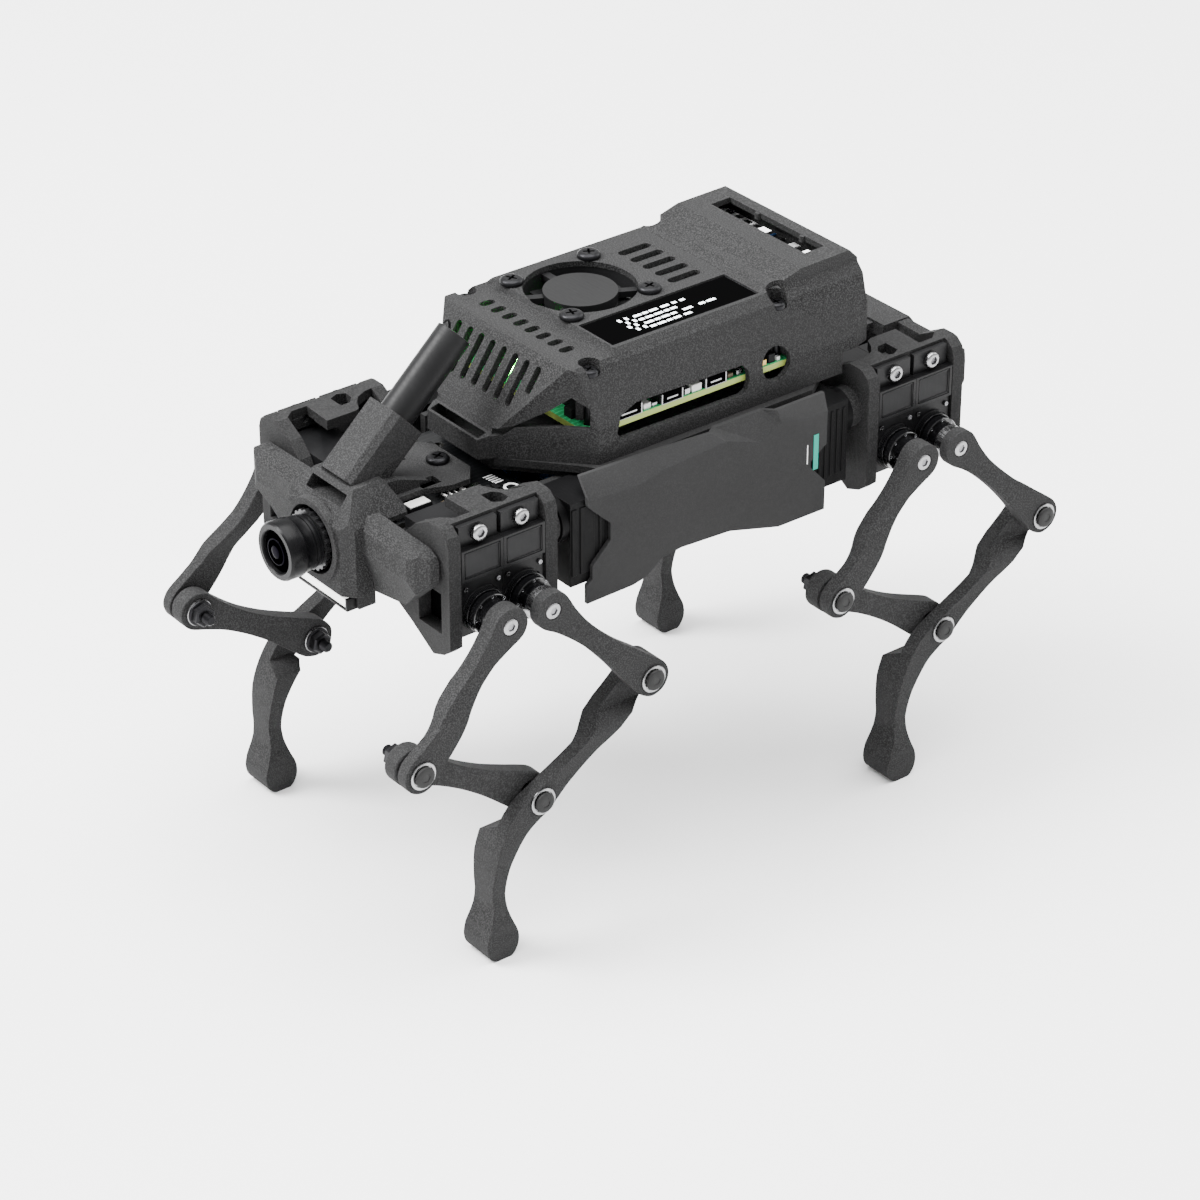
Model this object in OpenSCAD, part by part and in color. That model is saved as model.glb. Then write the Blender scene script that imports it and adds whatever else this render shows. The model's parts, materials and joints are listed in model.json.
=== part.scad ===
/* [Leg] */
// Thigh length, servo shaft to knee pin
thigh_len = 40; // [38:0.5:42]
// Rear link length, servo shaft to elbow pin
rear_len = 40; // [38:0.5:42]
// Knee link length, knee pin to shin pin
knee_len = 40; // [39:0.5:41]
// Shin upper arm length, elbow pin to shin pin
shin_len = 40; // [39:0.5:41]
// Rest angle of the thigh in the leg plane, degrees
thigh_a = -133.7; // [-136:0.5:-130]
// Rest angle of the rear link in the leg plane, degrees
rear_a = -44.9; // [-48:0.5:-42]
// Radius of the pivot bolts
bolt_r = 1.45; // [1.3:0.05:1.47]
// Radius of the clearance hole at the shin pin
slack_r = 2.9; // [2.6:0.1:3.0]

/* [Body] */
// Height of the leg servo shafts above the ground
shaft_z = 90.4; // [90.4:0.1:90.8]
// Distance of each hip swing axis from the middle
hip_x = 31; // [31:0.05:31.1]
// Height of the hip swing axes
hip_z = 102; // [102:0.1:102.2]
// Position of the front leg shafts along the body
front_y = -70.6; // [-70.7:0.05:-70.6]
// Position of the rear leg shafts along the body
rear_y = 58.4; // [58.4:0.05:58.5]
// Spacing of the two servo shafts of a leg
shaft_pitch = 12.2; // [12.2:0.05:12.3]

/* [Case] */
// Height of the top deck of the case
deck_z = 137; // [136.5:0.25:137.5]
// Wall thickness of the case
wall = 1.5; // [1.2:0.1:1.6]
// Opening radius over the fan
fan_r = 14.2; // [13.8:0.1:14.4]

/* [Hidden] */
y_off = -0.65;
seg = 4;

print_c = [0.28, 0.28, 0.28];
servo_c = [0.09, 0.09, 0.1];
steel_c = [0.8, 0.8, 0.82];
bolt_c = [0.12, 0.12, 0.13];

// ---- pivots of one leg, in the leg plane (Y, Z), Y measured from the thigh shaft
pA = [0, shaft_z];
pB = [shaft_pitch, shaft_z];
pK = pA + thigh_len * [cos(thigh_a), sin(thigh_a)];
pE = pB + rear_len * [cos(rear_a), sin(rear_a)];
ke = pE - pK;
dke = norm(ke);
tk = (dke * dke + knee_len * knee_len - shin_len * shin_len) / (2 * dke);
hk = sqrt(knee_len * knee_len - tk * tk);
pS = pK + tk * ke / dke + hk * [ke[1], -ke[0]] / dke;

// ---- smooth closed outline through points
function cr(a, b, c, d, t) = 0.5 * (2 * b + (c - a) * t + (2 * a - 5 * b + 4 * c - d) * t * t + (3 * b - a - 3 * c + d) * t * t * t);
function smooth_loop(p, n = seg) = let (m = len(p)) [for (i = [0 : m - 1]) for (k = [0 : n - 1]) cr(p[(i + m - 1) % m], p[i], p[(i + 1) % m], p[(i + 2) % m], k / n)];
// points given along a link (t) and across it (n), turned into the leg plane
function along(o, q, pts) = let (d = (q - o) / norm(q - o), e = [-d[1], d[0]]) [for (p = pts) o + p[0] * d + p[1] * e];

// polygon in (Y, Z) extruded along X from x0 to x1
module plate_x(x0, x1, pts) translate([x0, 0, 0]) rotate([90, 0, 90]) linear_extrude(x1 - x0) polygon(pts);
// polygon in (X, Z) extruded along Y from y0 to y1
module plate_y(y0, y1, pts) translate([0, y1, 0]) rotate([90, 0, 0]) linear_extrude(y1 - y0) polygon(pts);
// polygon in (X, Y) extruded along Z
module plate_z(z0, z1, pts) translate([0, 0, z0]) linear_extrude(z1 - z0) polygon(pts);
// cylinder along X at (y, z)
module rod_x(x0, x1, p, r, n = 48) translate([x0, p[0], p[1]]) rotate([0, 90, 0]) cylinder(h = x1 - x0, r = r, $fn = n);
// cylinder along Y at (x, z)
module rod_y(y0, y1, p, r, n = 48) translate([p[0], y1, p[1]]) rotate([90, 0, 0]) cylinder(h = y1 - y0, r = r, $fn = n);
// cylinder along Z at (x, y)
module rod_z(z0, z1, p, r, n = 48) translate([p[0], p[1], z0]) cylinder(h = z1 - z0, r = r, $fn = n);
module box(a, b) translate(a) cube(b - a);
module pair_x() { children(); mirror([1, 0, 0]) children(); }
// slot along Y with round ends, cut along Z
module slot_y(x, y0, y1, w, z0, z1) { box([x - w / 2, y0 + w / 2, z0], [x + w / 2, y1 - w / 2, z1]); rod_z(z0, z1, [x, y0 + w / 2], w / 2, 24); rod_z(z0, z1, [x, y1 - w / 2], w / 2, 24); }

// one leg's frame: side is left or right, end is front or rear
module leg(side, end) translate([0, y_off + (end == "front" ? front_y : rear_y), 0]) mirror([side == "right" ? 1 : 0, 0, 0]) children();
module body() translate([0, y_off, 0]) children();

// ================= leg parts, left side =================
module bracket_outline_plate(y0, y1) plate_y(y0, y1, [[18, 86.5], [23.7, 83.6], [32, 78.6], [36.4, 80.2], [38.9, 82.4], [38.9, 109.6], [38.1, 111.9], [36.2, 113.5], [34.8, 113.8], [31.2, 113.8], [25.6, 110.8], [21.8, 107.2], [19, 102.4], [18, 98]]);
// front-leg bracket: pivot plate in front, hip servo plate behind; mirrored for the rear legs
module bracket_raw() difference() {
  union() {
    difference() {
      bracket_outline_plate(-9.8, -6.3);
      box([26.6, -12, 85.6], [35.6, -4, 96.4]);
      rod_y(-12, -4, [hip_x, hip_z], 2.06);
    }
    bracket_outline_plate(18.4, 21.9);
    rod_y(21.8, 24.7, [hip_x, hip_z], 5.4);
    plate_z(111.2, 113.8, [[35.3, -6.4], [35.3, 18.5], [31.3, 18.5], [31, 16.2], [29.6, 13.2], [27.4, 11.4], [24.6, 10], [24, 8.6], [24, 0.2], [33.4, 0.6], [33.4, -3.8], [31.3, -6.4]]);
    box([33.2, -6.4, 108.3], [35.3, 18.5, 111.3]);
  }
  rod_y(15, 27, [hip_x, hip_z], 2.06);
  plate_z(111, 115, [[28.4, 7.4], [28.6, 10.2], [30.4, 11.8], [33, 12], [34, 9.8], [32.9, 7.4]]);
  for (y = [0, 12.2]) rod_x(30, 36, [y, 110.5], 1.05, 24);
}
module hip_bracket(end) if (end == "front") bracket_raw(); else translate([0, shaft_pitch, 0]) mirror([0, 1, 0]) bracket_raw();

module servo_body(y) union() {
  difference() {
    box([16.4, y - 6.05, 84.4], [38.9, y + 6.05, 107.6]);
    box([38.2, y - 7, 83], [40, y + 7, 99.2]);
    box([38.6, y - 5.2, 100], [40, y + 5.2, 107]);
  }
  rod_x(38.1, 40.1, [y, shaft_z], 5.6);
  rod_x(40, 41, [y, shaft_z], 2.2, 24);
  difference() {
    box([35.6, y - 5.5, 107.5], [37, y + 5.5, 113.1]);
    rod_x(35, 38, [y, 110.5], 1.15, 24);
  }
}
module servo_screw(y) { rod_x(37.02, 38.5, [y, 110.5], 2.1, 32); rod_x(34, 37.1, [y, 110.5], 1, 24); }
module leg_servos() { servo_body(0); servo_body(shaft_pitch); servo_screw(0); servo_screw(shaft_pitch); }

// servo horn: disc, hub and socket over the splined shaft
module horn(y, x1) difference() {
  union() {
    rod_x(40.4, 42.4, [y, shaft_z], 5.3);
    rod_x(42.3, x1, [y, shaft_z], 4.3);
  }
  rod_x(40, 41.3, [y, shaft_z], 2.26, 24);
  rod_x(40, x1 + 1, [y, shaft_z], 1.1, 24);
  for (a = [0 : 45 : 315]) rod_x(40, 43, [y + 4.3 * cos(a), shaft_z + 4.3 * sin(a)], 0.45, 16);
}
module flange_bearing(xf, p, d = 1) difference() {
  union() {
    rod_x(xf - 2.5, xf + 0.01, p, 3);
    rod_x(xf, xf + 0.55, p, 3.55);
  }
  rod_x(xf - 3, xf + 1, p, 1.5);
}
module hub_screw(x0, x1, y) { rod_x(x1 - 1.5, x1, [y, shaft_z], 2.1, 32); rod_x(x0, x1 - 1.4, [y, shaft_z], 1, 24); }

thigh_pts = [[0, 4.9], [-3.46, 3.46], [-4.9, 0], [-3.46, -3.46], [0, -4.9], [5, -3.7], [10, -2.9], [15, -2.8], [20, -3.4], [25, -3.9], [30, -3.4], [35, -4.1], [40, -4.9], [43.46, -3.46], [44.9, 0], [43.46, 3.46], [40, 4.9], [35.5, 4.6], [31, 4.4], [26, 3.8], [21, 2.3], [16, 1.9], [10, 2.4], [5, 3.6]];
module thigh_link() difference() {
  intersection() {
    plate_x(44.9, 51.7, smooth_loop(along(pA, pK, thigh_pts)));
    plate_y(-40, 12, [[45, 97], [45, 79.5], [45.8, 76.5], [47.4, 73], [48.3, 69.5], [48.3, 55], [51.6, 55], [51.6, 71.5], [51.2, 74.5], [50.2, 78.5], [49.7, 82], [49.7, 97]]);
  }
  rod_x(44, 51, pA, 1.1, 24);
  rod_x(48.15, 51, pA, 2.2, 32);
  rod_x(47, 53, pK, 3.02);
}
module thigh_hub() { horn(0, 44.95); hub_screw(42, 49.75, 0); flange_bearing(51.6, pK); }

rear_pts = [[0, 4.9], [-3.46, 3.46], [-4.9, 0], [-3.46, -3.46], [0, -4.9], [5, -3.8], [10, -3.1], [15, -2.8], [20, -2.9], [26, -3.4], [32, -4.2], [36.5, -4.8], [40, -4.9], [43.46, -3.46], [44.9, 0], [43.46, 3.46], [40, 4.9], [35, 4.3], [30, 3.7], [24, 2.8], [18, 2.5], [12, 2.6], [6, 3.5]];
module rear_link() difference() {
  intersection() {
    plate_x(46.9, 52.1, smooth_loop(along(pB, pE, rear_pts)));
    plate_y(-10, 60, [[47, 97], [47, 84], [47.5, 79], [48.2, 73], [48.4, 69], [48.4, 55], [52, 55], [52, 70], [51.6, 74], [50.6, 80], [50, 85], [50, 97]]);
  }
  rod_x(44, 51, pB, 1.1, 24);
  rod_x(48.45, 51, pB, 2.2, 32);
  rod_x(47, 53, pE, 3.02);
}
module rear_hub() {
  horn(shaft_pitch, 44.5);
  difference() { rod_x(44.55, 46.95, pB, 4.5); rod_x(44, 47.5, pB, 1.1, 24); }
  hub_screw(42, 50.05, shaft_pitch);
  flange_bearing(52, pE);
}

// bolt through a pivot: head outside, lock nut inside, ring washers between
module pivot_bolt(p, x_head, x_in, gap0, gap1) {
  rod_x(x_head, x_head + 0.9, p, 2.65, 32);
  rod_x(37, x_head + 0.1, p, bolt_r);
  difference() { rod_x(x_in - 0.7, x_in - 0.05, p, 3.55); rod_x(x_in - 2, x_in + 1, p, 1.5); }
  difference() {
    union() { rod_x(x_in - 1.3, x_in - 0.75, p, 3.4, 32); translate([x_in - 3.5, p[0], p[1]]) rotate([0, 90, 0]) cylinder(h = 2.3, r = 3, $fn = 6); }
    rod_x(x_in - 5, x_in + 1, p, 1.5);
  }
  if (gap1 > gap0) difference() { rod_x(gap0, gap1, p, 3.4); rod_x(gap0 - 1, gap1 + 1, p, 1.5); }
}
module knee_bolt() pivot_bolt(pK, 52.2, 42.9, 47.55, 48.25);
module elbow_bolt() pivot_bolt(pE, 52.6, 43.5, 47.55, 48.35);
module shin_bolt() { pivot_bolt(pS, 52.9, 42.9, 0, 0); flange_bearing(52.3, pS); }

knee_pts = [[0, 5], [-3.5, 3.5], [-5, 0], [-3.5, -3.5], [0, -5], [5, -4.1], [10, -3.2], [15, -2.9], [20, -2.95], [26, -3.4], [32, -4.3], [36.5, -5], [40, -5.2], [43.7, -3.7], [45.2, 0], [43.7, 3.7], [40, 5.2], [36, 4.9], [31, 4.1], [25, 3.3], [20, 2.95], [15, 2.9], [10, 3.3], [5, 4.1]];
module knee_link() difference() {
  plate_x(42.9, 47.5, smooth_loop(along(pK, pS, knee_pts)));
  rod_x(40, 50, pK, 1.52);
  rod_x(40, 50, pS, slack_r);
}

// shin outline in the leg plane, from the elbow round to the foot and back
eb = pE - [40.5, 62.1];
shin_pts = [[42.7, 57.6] + eb, [45.1, 60.4] + eb, [45.1, 63.9] + eb, [42.9, 66.4] + eb, [39.7, 67] + eb, [36.9, 65] + eb, [33.2, 61.6] + eb, [28.8, 58.1], [24, 54.8], [20, 51.9], [15.5, 49.2], [10.8, 46.8], [5.2, 43.9], [-0.6, 40.4], [-4.7, 34.6], [-7.1, 28], [-8, 20.5], [-8, 13.5], [-9.9, 7.6], [-10.4, 4.2], [-9.3, 1.2], [-6.6, -0.2], [-3.2, 0], [-1.2, 2.6], [-1, 6.2], [-2.7, 10.6], [-3.9, 14.6], [-4.1, 18.8], [-3.6, 23], [-2.2, 27.5], [0.9, 32.2], [3.2, 34.4], [6, 36.2], [8.9, 37.7], [10.9, 39.7], [14.4, 42.9], [18.6, 46], [23, 48.8], [27.5, 50.9], [32, 53.2], [37.8, 55.8] + eb];
module shin_link() difference() {
  intersection() {
    plate_x(42.4, 52.4, smooth_loop(shin_pts, 3));
    plate_y(-30, 60, [[43.5, 72], [43.5, 58], [44.2, 55.5], [47.2, 52.5], [48.3, 51], [48.3, 35.8], [43, 33.2], [43, 28], [44.2, 18], [42.6, 8], [42.6, 0], [52.3, 0], [52.3, 8], [51.3, 18], [52.3, 28], [52.3, 52.5], [51.3, 54.5], [48.2, 56.4], [47.5, 58.4], [47.5, 72]]);
    box([40, -30, 0], [55, 60, 72]);
  }
  rod_x(40, 48.29, pS, 6.9);
  rod_x(43, 53, pS, 3.02);
  rod_x(40, 50, pE, 1.52);
}

// ================= body parts =================
module hip_servo_one() union() {
  box([24.95, 18.5, 85.4], [37.05, 43.5, 108]);
  rod_y(43.4, 45.6, [hip_x, hip_z], 5.9);
  rod_y(45.5, 51.5, [hip_x, hip_z], 2);
}
module hip_servos() color(servo_c) body() pair_x() { hip_servo_one(); mirror([0, 1, 0]) hip_servo_one(); }

tray_pts = [[-11.5, -46.8], [11.5, -46.8], [27.5, -33], [32, -30], [32, 36], [26, 44.5], [13.4, 46.8], [13.4, 51.4], [-13.4, 51.4], [-13.4, 46.8], [-26, 44.5], [-32, 36], [-32, -30], [-27.5, -33]];
module chassis_frame() color(print_c) body() difference() {
  union() {
    plate_z(108.9, 110.9, tray_pts);
    plate_z(106.3, 108.95, [[-9, -45.4], [9, -45.4], [20, -36], [23.8, -32.4], [23.8, 41], [-23.8, 41], [-23.8, -32.4], [-20, -36]]);
    pair_x() difference() {
      box([21.8, -43, 84], [23.8, 43, 107]);
      for (y = [-16, 0, 16]) box([20, y - 5, 90], [26, y + 5, 103]);
    }
    box([-22, -43, 84], [22, 43, 86]);
    box([-22, -43, 86], [22, -41, 100]);
    box([-22, 41, 86], [22, 43, 100]);
    // tongues that carry the head and the tail frame
    box([-9.5, -60, 97], [9.5, -42.9, 100.4]);
    box([-9.5, 42.9, 97], [9.5, 60, 100.4]);
    rod_z(100.3, 106.35, [0, -55], 2.6, 32);
    rod_z(100.3, 106.35, [0, 55], 2.6, 32);
    rod_z(100.3, 102.85, [0, -55], 4.2, 32);
  }
  box([-17.6, -34, 106], [17.6, 34, 107.9]);
  for (x = [-13, 0, 13]) for (y = [-24, 0, 24]) slot_y(x, y - 8, y + 8, 5, 80, 88);
  rod_z(101, 107, [0, -55], 1.05, 24);
  rod_z(101, 107, [0, 55], 1.05, 24);
  for (x = [-24.5, 24.5]) for (y = [-28, 30]) rod_z(104, 112, [x, y], 1.3, 24);
}

armor_pts = [[-39.5, 80], [-25.5, 80.2], [-21.5, 81], [-16.4, 84.6], [-10.5, 85.4], [4.6, 84.6], [20.5, 80.3], [35.5, 80.2], [35.5, 88.2], [30.6, 93.6], [30.6, 95.2], [35.6, 98.6], [35.9, 112.2], [-37.8, 112.2], [-39.3, 109.4], [-39.3, 106.6], [-37.4, 104.6], [-32.4, 99.9], [-32.4, 95.2], [-37.9, 89.9], [-37.9, 86.4], [-39.5, 85.2]];
module armor_side() difference() {
  intersection() {
    plate_x(28, 39, armor_pts);
    plate_y(-45, 45, [[38.4, 78], [38.4, 108.5], [32.9, 112.2], [32.2, 111.3], [37.35, 107.9], [37.35, 78]]);
  }
}
// armour panel with top edge ribs that meet the tray
module side_armor() color(print_c) body() pair_x() {
  armor_side();
  for (y = [-12, 12]) rod_x(23.82, 37.4, [y, 96], 2.4, 32);
}

module battery_pack() color([0.15, 0.3, 0.5]) body() {
  for (x = [-9.4, 9.4]) rod_y(-33, 33, [x, 95.6], 9.2);
}

module control_board() color([0.05, 0.05, 0.06]) body() difference() {
  union() {
    plate_z(102.9, 104.5, [[-14.4, -79.5], [14.4, -79.5], [14.4, -52.6], [16.6, -49], [18.8, -48.2], [18.8, -42], [-18.8, -42], [-18.8, -48.2], [-16.6, -49], [-14.4, -52.6]]);
    box([9.6, -72.6, 104.4], [12.9, -66, 106.2]);
    box([10, -61.8, 104.4], [12.6, -57.6, 105.5]);
    box([-12.5, -58, 104.4], [-5, -48, 105.7]);
  }
  rod_z(102, 107, [0, -55], 2.9, 32);
  for (x = [-11.5, 11.5]) for (y = [-76.5, -46.5]) rod_z(102, 106, [x, y], 1.3, 24);
}

module light_bar() color([0.98, 0.98, 0.95]) body() union() {
  box([-9.4, -89.4, 83.6], [9.4, -87, 86.1]);
}

// arm that reaches out to the hip pivot, with its pin
module hip_arm() intersection() {
  plate_y(-88.6, -81.1, [[12, 88], [26.5, 90.7], [30.6, 94.6], [35.7, 99.4], [36.2, 100.6], [36.2, 105.2], [35.3, 106.6], [33, 107.8], [12, 108.2]]);
  plate_x(12, 38, [[-81.1, 86], [-81.1, 108.4], [-84.4, 108.4], [-86.9, 105.8], [-86.9, 100], [-84.6, 93], [-83.4, 86]]);
  plate_z(80, 112, [[12, -88.6], [27, -88.6], [33.2, -86], [36.2, -83.6], [36.2, -81], [12, -81]]);
}
deck_pts = [[-9.2, -80], [9.2, -80], [9.2, -66.4], [11.9, -59.4], [11.9, -54.2], [7.2, -50.6], [-7.2, -50.6], [-11.9, -54.2], [-11.9, -59.4], [-9.2, -66.4]];
module pivot_pin() rod_y(-83, -77.4, [hip_x, hip_z], 2);
module head_shell() color(print_c) body() difference() {
  union() {
    intersection() {
      plate_x(-13.6, 13.6, [[-91.5, 88.2], [-91.5, 106], [-85.2, 113.6], [-76.5, 113.6], [-73.8, 108], [-73.8, 105.2], [-80.9, 105.2], [-80.9, 88.2]]);
      plate_z(80, 120, [[-10.6, -91.5], [10.6, -91.5], [13.6, -89], [13.6, -70], [-13.6, -70], [-13.6, -89]]);
      plate_y(-92, -70, [[-13.6, 86], [13.6, 86], [13.6, 106.5], [7.8, 113.6], [-7.8, 113.6], [-13.6, 106.5]]);
    }
    rod_y(-92.3, -90, [0, 99.4], 10.4);
    // neck block
    translate([0, -66.8, 124.2]) rotate([42.6, 0, 0]) plate_y(-20, 0, [[-4.6, -5.9], [4.6, -5.9], [6.1, -4.4], [6.1, 4.4], [4.6, 5.9], [-4.6, 5.9], [-6.1, 4.4], [-6.1, -4.4]]);
    // deck plate
    plate_z(106.4, 108, deck_pts);
    pair_x() plate_x(5.6, 8, [[-79, 107.9], [-77, 112.5], [-72, 112], [-60.5, 107.9]]);
    pair_x() { hip_arm(); pivot_pin(); }
    // lamp carrier under the chin
    box([-11.2, -86.9, 83.2], [11.2, -82, 88.3]);
  }
  // camera well
  rod_y(-93, -83.4, [0, 99.4], 8.7);
  box([-11.4, -89.6, 90.4], [11.4, -82.4, 104.8]);
  // neck bore and the gap below the block
  translate([0, -66.8, 124.2]) rotate([42.6, 0, 0]) rod_y(-7.4, 1, [0, 0], 4.62);
  box([-7, -88.4, 108.4], [7, -81.4, 112.2]);
  rod_z(105, 109, [0, -55], 1.35, 24);
  plate_z(105, 109, [[-9, -60.5], [-5.2, -60.5], [-5.2, -66], [-9, -66]]);
  plate_z(105, 109, [[9, -60.5], [5.2, -60.5], [5.2, -66], [9, -66]]);
}
module tail_frame() color(print_c) body() difference() {
  union() {
    mirror([0, 1, 0]) {
      intersection() {
        plate_x(-13.2, 13.2, [[-90.4, 88.2], [-90.4, 102], [-85.2, 108.6], [-76.5, 108.6], [-76, 105.2], [-80.9, 105.2], [-80.9, 88.2]]);
        plate_z(80, 120, [[-9.6, -90.4], [9.6, -90.4], [13.2, -87.4], [13.2, -70], [-13.2, -70], [-13.2, -87.4]]);
      }
      plate_z(106.4, 108, deck_pts);
      pair_x() { hip_arm(); pivot_pin(); }
    }
  }
  box([-9.6, 80, 90.4], [9.6, 88, 103.4]);
  rod_z(105, 109, [0, 55], 1.35, 24);
  box([-7, 62, 105], [7, 74, 109]);
}

// rotate_extrude profile is turned to lie along -Y
module camera_module() color([0.04, 0.04, 0.05]) body() {
  translate([0, 0, 99.4]) rotate([90, 0, 0]) rotate_extrude($fn = 64)
    polygon([[0, 83.6], [6, 83.6], [6, 91.6], [7.7, 91.6], [7.7, 93.1], [6.5, 93.1], [6.5, 94.2], [6.9, 94.2], [6.9, 97.2], [7.4, 98], [7.4, 102], [6.8, 102.6], [5.5, 102.6], [5.2, 101.6], [4.2, 101.9], [2.2, 102.4], [0, 102.5]]);
  box([-7, -83.5, 92.4], [7, -82.5, 104.6]);
}
module neck_tube() color([0.16, 0.16, 0.17]) body() translate([0, -66.8, 124.2]) rotate([42.6, 0, 0]) difference() {
  rod_y(-7, 23.8, [0, 0], 4.5);
  rod_y(-8, 25, [0, 0], 3.4);
}

// ---- case: side profile, cross section and plan of the outer skin; g is the inset
module case_solid(g) intersection() {
  plate_x(-31, 31, [[-50.6 + g, 111], [-50.6 + g, 116.3], [-46.9 + g, 117.4], [-34.5 + g, 135.7 - g], [-21 + g, 135.7 - g], [-20.2 + g, deck_z - g], [26.4, deck_z - g], [38.4, 140.3 - g], [54, 140.6 - g], [56.6 - g, 138 - g], [57 - g, 111]]);
  plate_y(-60, 60, [[-30 + g, 110], [30 - g, 110], [29.7 - g, 120], [26.2 - g, 134.6], [24 - g * 0.9, 137.1], [24 - g * 0.9, 142], [-24 + g * 0.9, 142], [-24 + g * 0.9, 137.1], [-26.2 + g, 134.6], [-29.7 + g, 120]]);
  plate_z(110, 145, [[-10 + g * 0.4, -50.7 + g], [10 - g * 0.4, -50.7 + g], [12.4 - g * 0.6, -45.9 + g], [30.4 - g * 0.3, -28.8 + g], [30.4, 50], [28 - g, 57.2 - g], [-28 + g, 57.2 - g], [-30.4, 50], [-30.4 + g * 0.3, -28.8 + g], [-12.4 + g * 0.6, -45.9 + g]]);
}
fan_c = [-6.8, -6.2];
// unit direction that faces out of the cheek, and its helper
module cheek_cut() plate_case_cheek([[-2.6, 117], [0.2, 116.9], [3.2, 119.4], [13.4, 120.2], [21.2, 120.2], [21.2, 125.6], [16.8, 128.4], [11.2, 124.4], [3, 119.9], [-2.6, 118.3]]);
module plate_case_cheek(pts) translate([13, -45.3, 0]) rotate([0, 0, 43.4]) plate_y(-3, 4.2, pts);
module slope_frame() translate([0, -34.5, 135.7]) rotate([-34.1, 0, 0]) children();
module top_case() color(print_c) body() difference() {
  union() {
    difference() { case_solid(0); translate([0, 0, -0.01]) case_solid(wall); }
    // screw sleeves down to the board
    for (x = [-24.5, 24.5]) for (y = [-28, 30]) intersection() { case_solid(0.2); rod_z(120.4, 136, [x, y], 3.2, 32); }
  }
  // fan mouth and its four screw holes
  rod_z(130, 140, fan_c, fan_r, 96);
  for (x = [-12, 12]) for (y = [-12, 12]) rod_z(130, 140, [fan_c[0] + x, fan_c[1] + y], 1.6, 24);
  // display window
  box([9.6, -19.6, 130], [22.9, 25.8, 140]);
  // vents behind the fan
  for (k = [0 : 4]) slot_y(-15 + 4.85 * k, 12.4, 22.2, 2.5, 130, 140);
  // short vents in the front step
  for (k = [0 : 7]) slot_y(-15.75 + 4.5 * k, -30, -25.8, 2.3, 130, 140);
  // long vents in the front slope
  for (k = [0 : 7]) let (x = -15.75 + 4.5 * k, l = abs(x) > 15 ? 7.2 : 12.2)
    slope_frame() translate([x, 0, -2.6]) rotate([90, 0, 0]) { translate([0, 0, -4]) linear_extrude(8) translate([-1, -l + 1]) square([2, l - 2]); for (q = [-1, -l + 1]) translate([0, q, -4]) cylinder(h = 8, r = 1, $fn = 24); }
  // card slot in the lip
  box([-9.6, -50, 115], [9.6, -42, 117.2]);
  // cheek windows
  pair_x() cheek_cut();
  // port window and round hole on both sides
  pair_x() {
    plate_x(25, 32, [[-23.6, 117.4], [-22.2, 115.6], [14.8, 115.2], [16.8, 116.2], [17.5, 118.4], [17.2, 121.4], [15.6, 122.9], [-17.2, 123.4], [-22.4, 121.4]]);
    rod_x(25, 32, [26.2, 120.2], 4.4);
  }
  // long window in the raised rear top
  box([-18, 44.4, 136], [18.2, 50.6, 142]);
  // room for the swinging rear hips
  pair_x() box([13.6, 47.6, 110], [31, 60, 116.6]);
  // rear port opening
  box([-25, 52, 118], [25, 60, 134]);
  // screw pockets
  for (x = [-24.5, 24.5]) for (y = [-28, 30]) { rod_z(132.6, 142, [x, y], 2.7, 32); rod_z(118, 133, [x, y], 1.35, 24); }
}

module computer_board() color([0.05, 0.45, 0.12]) body() difference() {
  union() {
    plate_z(117.9, 119.5, [[-24.8, -31.5], [24.8, -31.5], [28, -28.3], [28, 53.4], [-28, 53.4], [-28, -28.3]]);
    // shielded ports along the rear edge
    for (x = [-18, -0.9]) box([x - 6.6, 36.5, 119.4], [x + 6.6, 54.6, 133.4]);
    box([8.8, 34.4, 119.4], [24.4, 54.4, 132.9]);
    // small ports along the left edge
    box([21.6, -22.8, 119.4], [27.6, -14.4, 122.3]);
    box([21.6, -8.8, 119.4], [27.6, -1.8, 122.3]);
    box([21.6, 4.8, 119.4], [27.6, 11.8, 122.3]);
    // main chip, memory and pin header
    box([-8, -12, 119.4], [7, 3, 121.6]);
    box([-7.4, -27, 119.4], [4.6, -15, 120.6]);
    box([-26, -24, 119.4], [-21, 26, 127.4]);
  }
  for (x = [-24.5, 24.5]) for (y = [-28, 30]) rod_z(116, 121, [x, y], 1.4, 24);
}
module fan_frame() color([0.1, 0.1, 0.1]) body() translate([fan_c[0], fan_c[1], 0]) difference() {
  union() {
    difference() { box([-15, -15, 128.2], [15, 15, 135.4]); rod_z(127, 136, [0, 0], 14.3, 96); }
    // motor disc and four struts, level with the mouth
    rod_z(133.6, 136.2, [0, 0], 9.3, 72);
    for (a = [62, 180, 242, 300]) rotate([0, 0, a]) box([8.2, -1.1, 133.6], [14.6, 1.1, 135.2]);
  }
  box([-16, -16, 134.1], [16, -12.4, 137]);
  for (x = [-12, 12]) for (y = [-12, 12]) rod_z(127, 136, [x, y], 1.3, 24);
  rod_z(133, 135.4, [0, 0], 1, 24);
}
module fan_rotor() color([0.12, 0.12, 0.12]) body() translate([fan_c[0], fan_c[1], 0]) {
  union() {
    difference() { rod_z(128.6, 133.3, [0, 0], 9.3, 72); rod_z(129.9, 134, [0, 0], 8.1, 64); }
    rod_z(129.8, 135.2, [0, 0], 0.93, 24);
    for (k = [0 : 6]) rotate([0, 0, k * 360 / 7]) translate([8.6, 0, 131.1]) rotate([34, 0, 0]) translate([0, -3.4, -0.35]) cube([5.1, 6.8, 0.7]);
  }
}
module display_panel() color([0.01, 0.01, 0.012]) body() box([9.75, -19.45, 134.9], [22.75, 25.65, 136.6]);
module pan_screw(p, z, r, l) { rod_z(z, z + 1.5, p, r, 32); rod_z(z - l, z + 0.1, p, 1.25, 24); }
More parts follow.
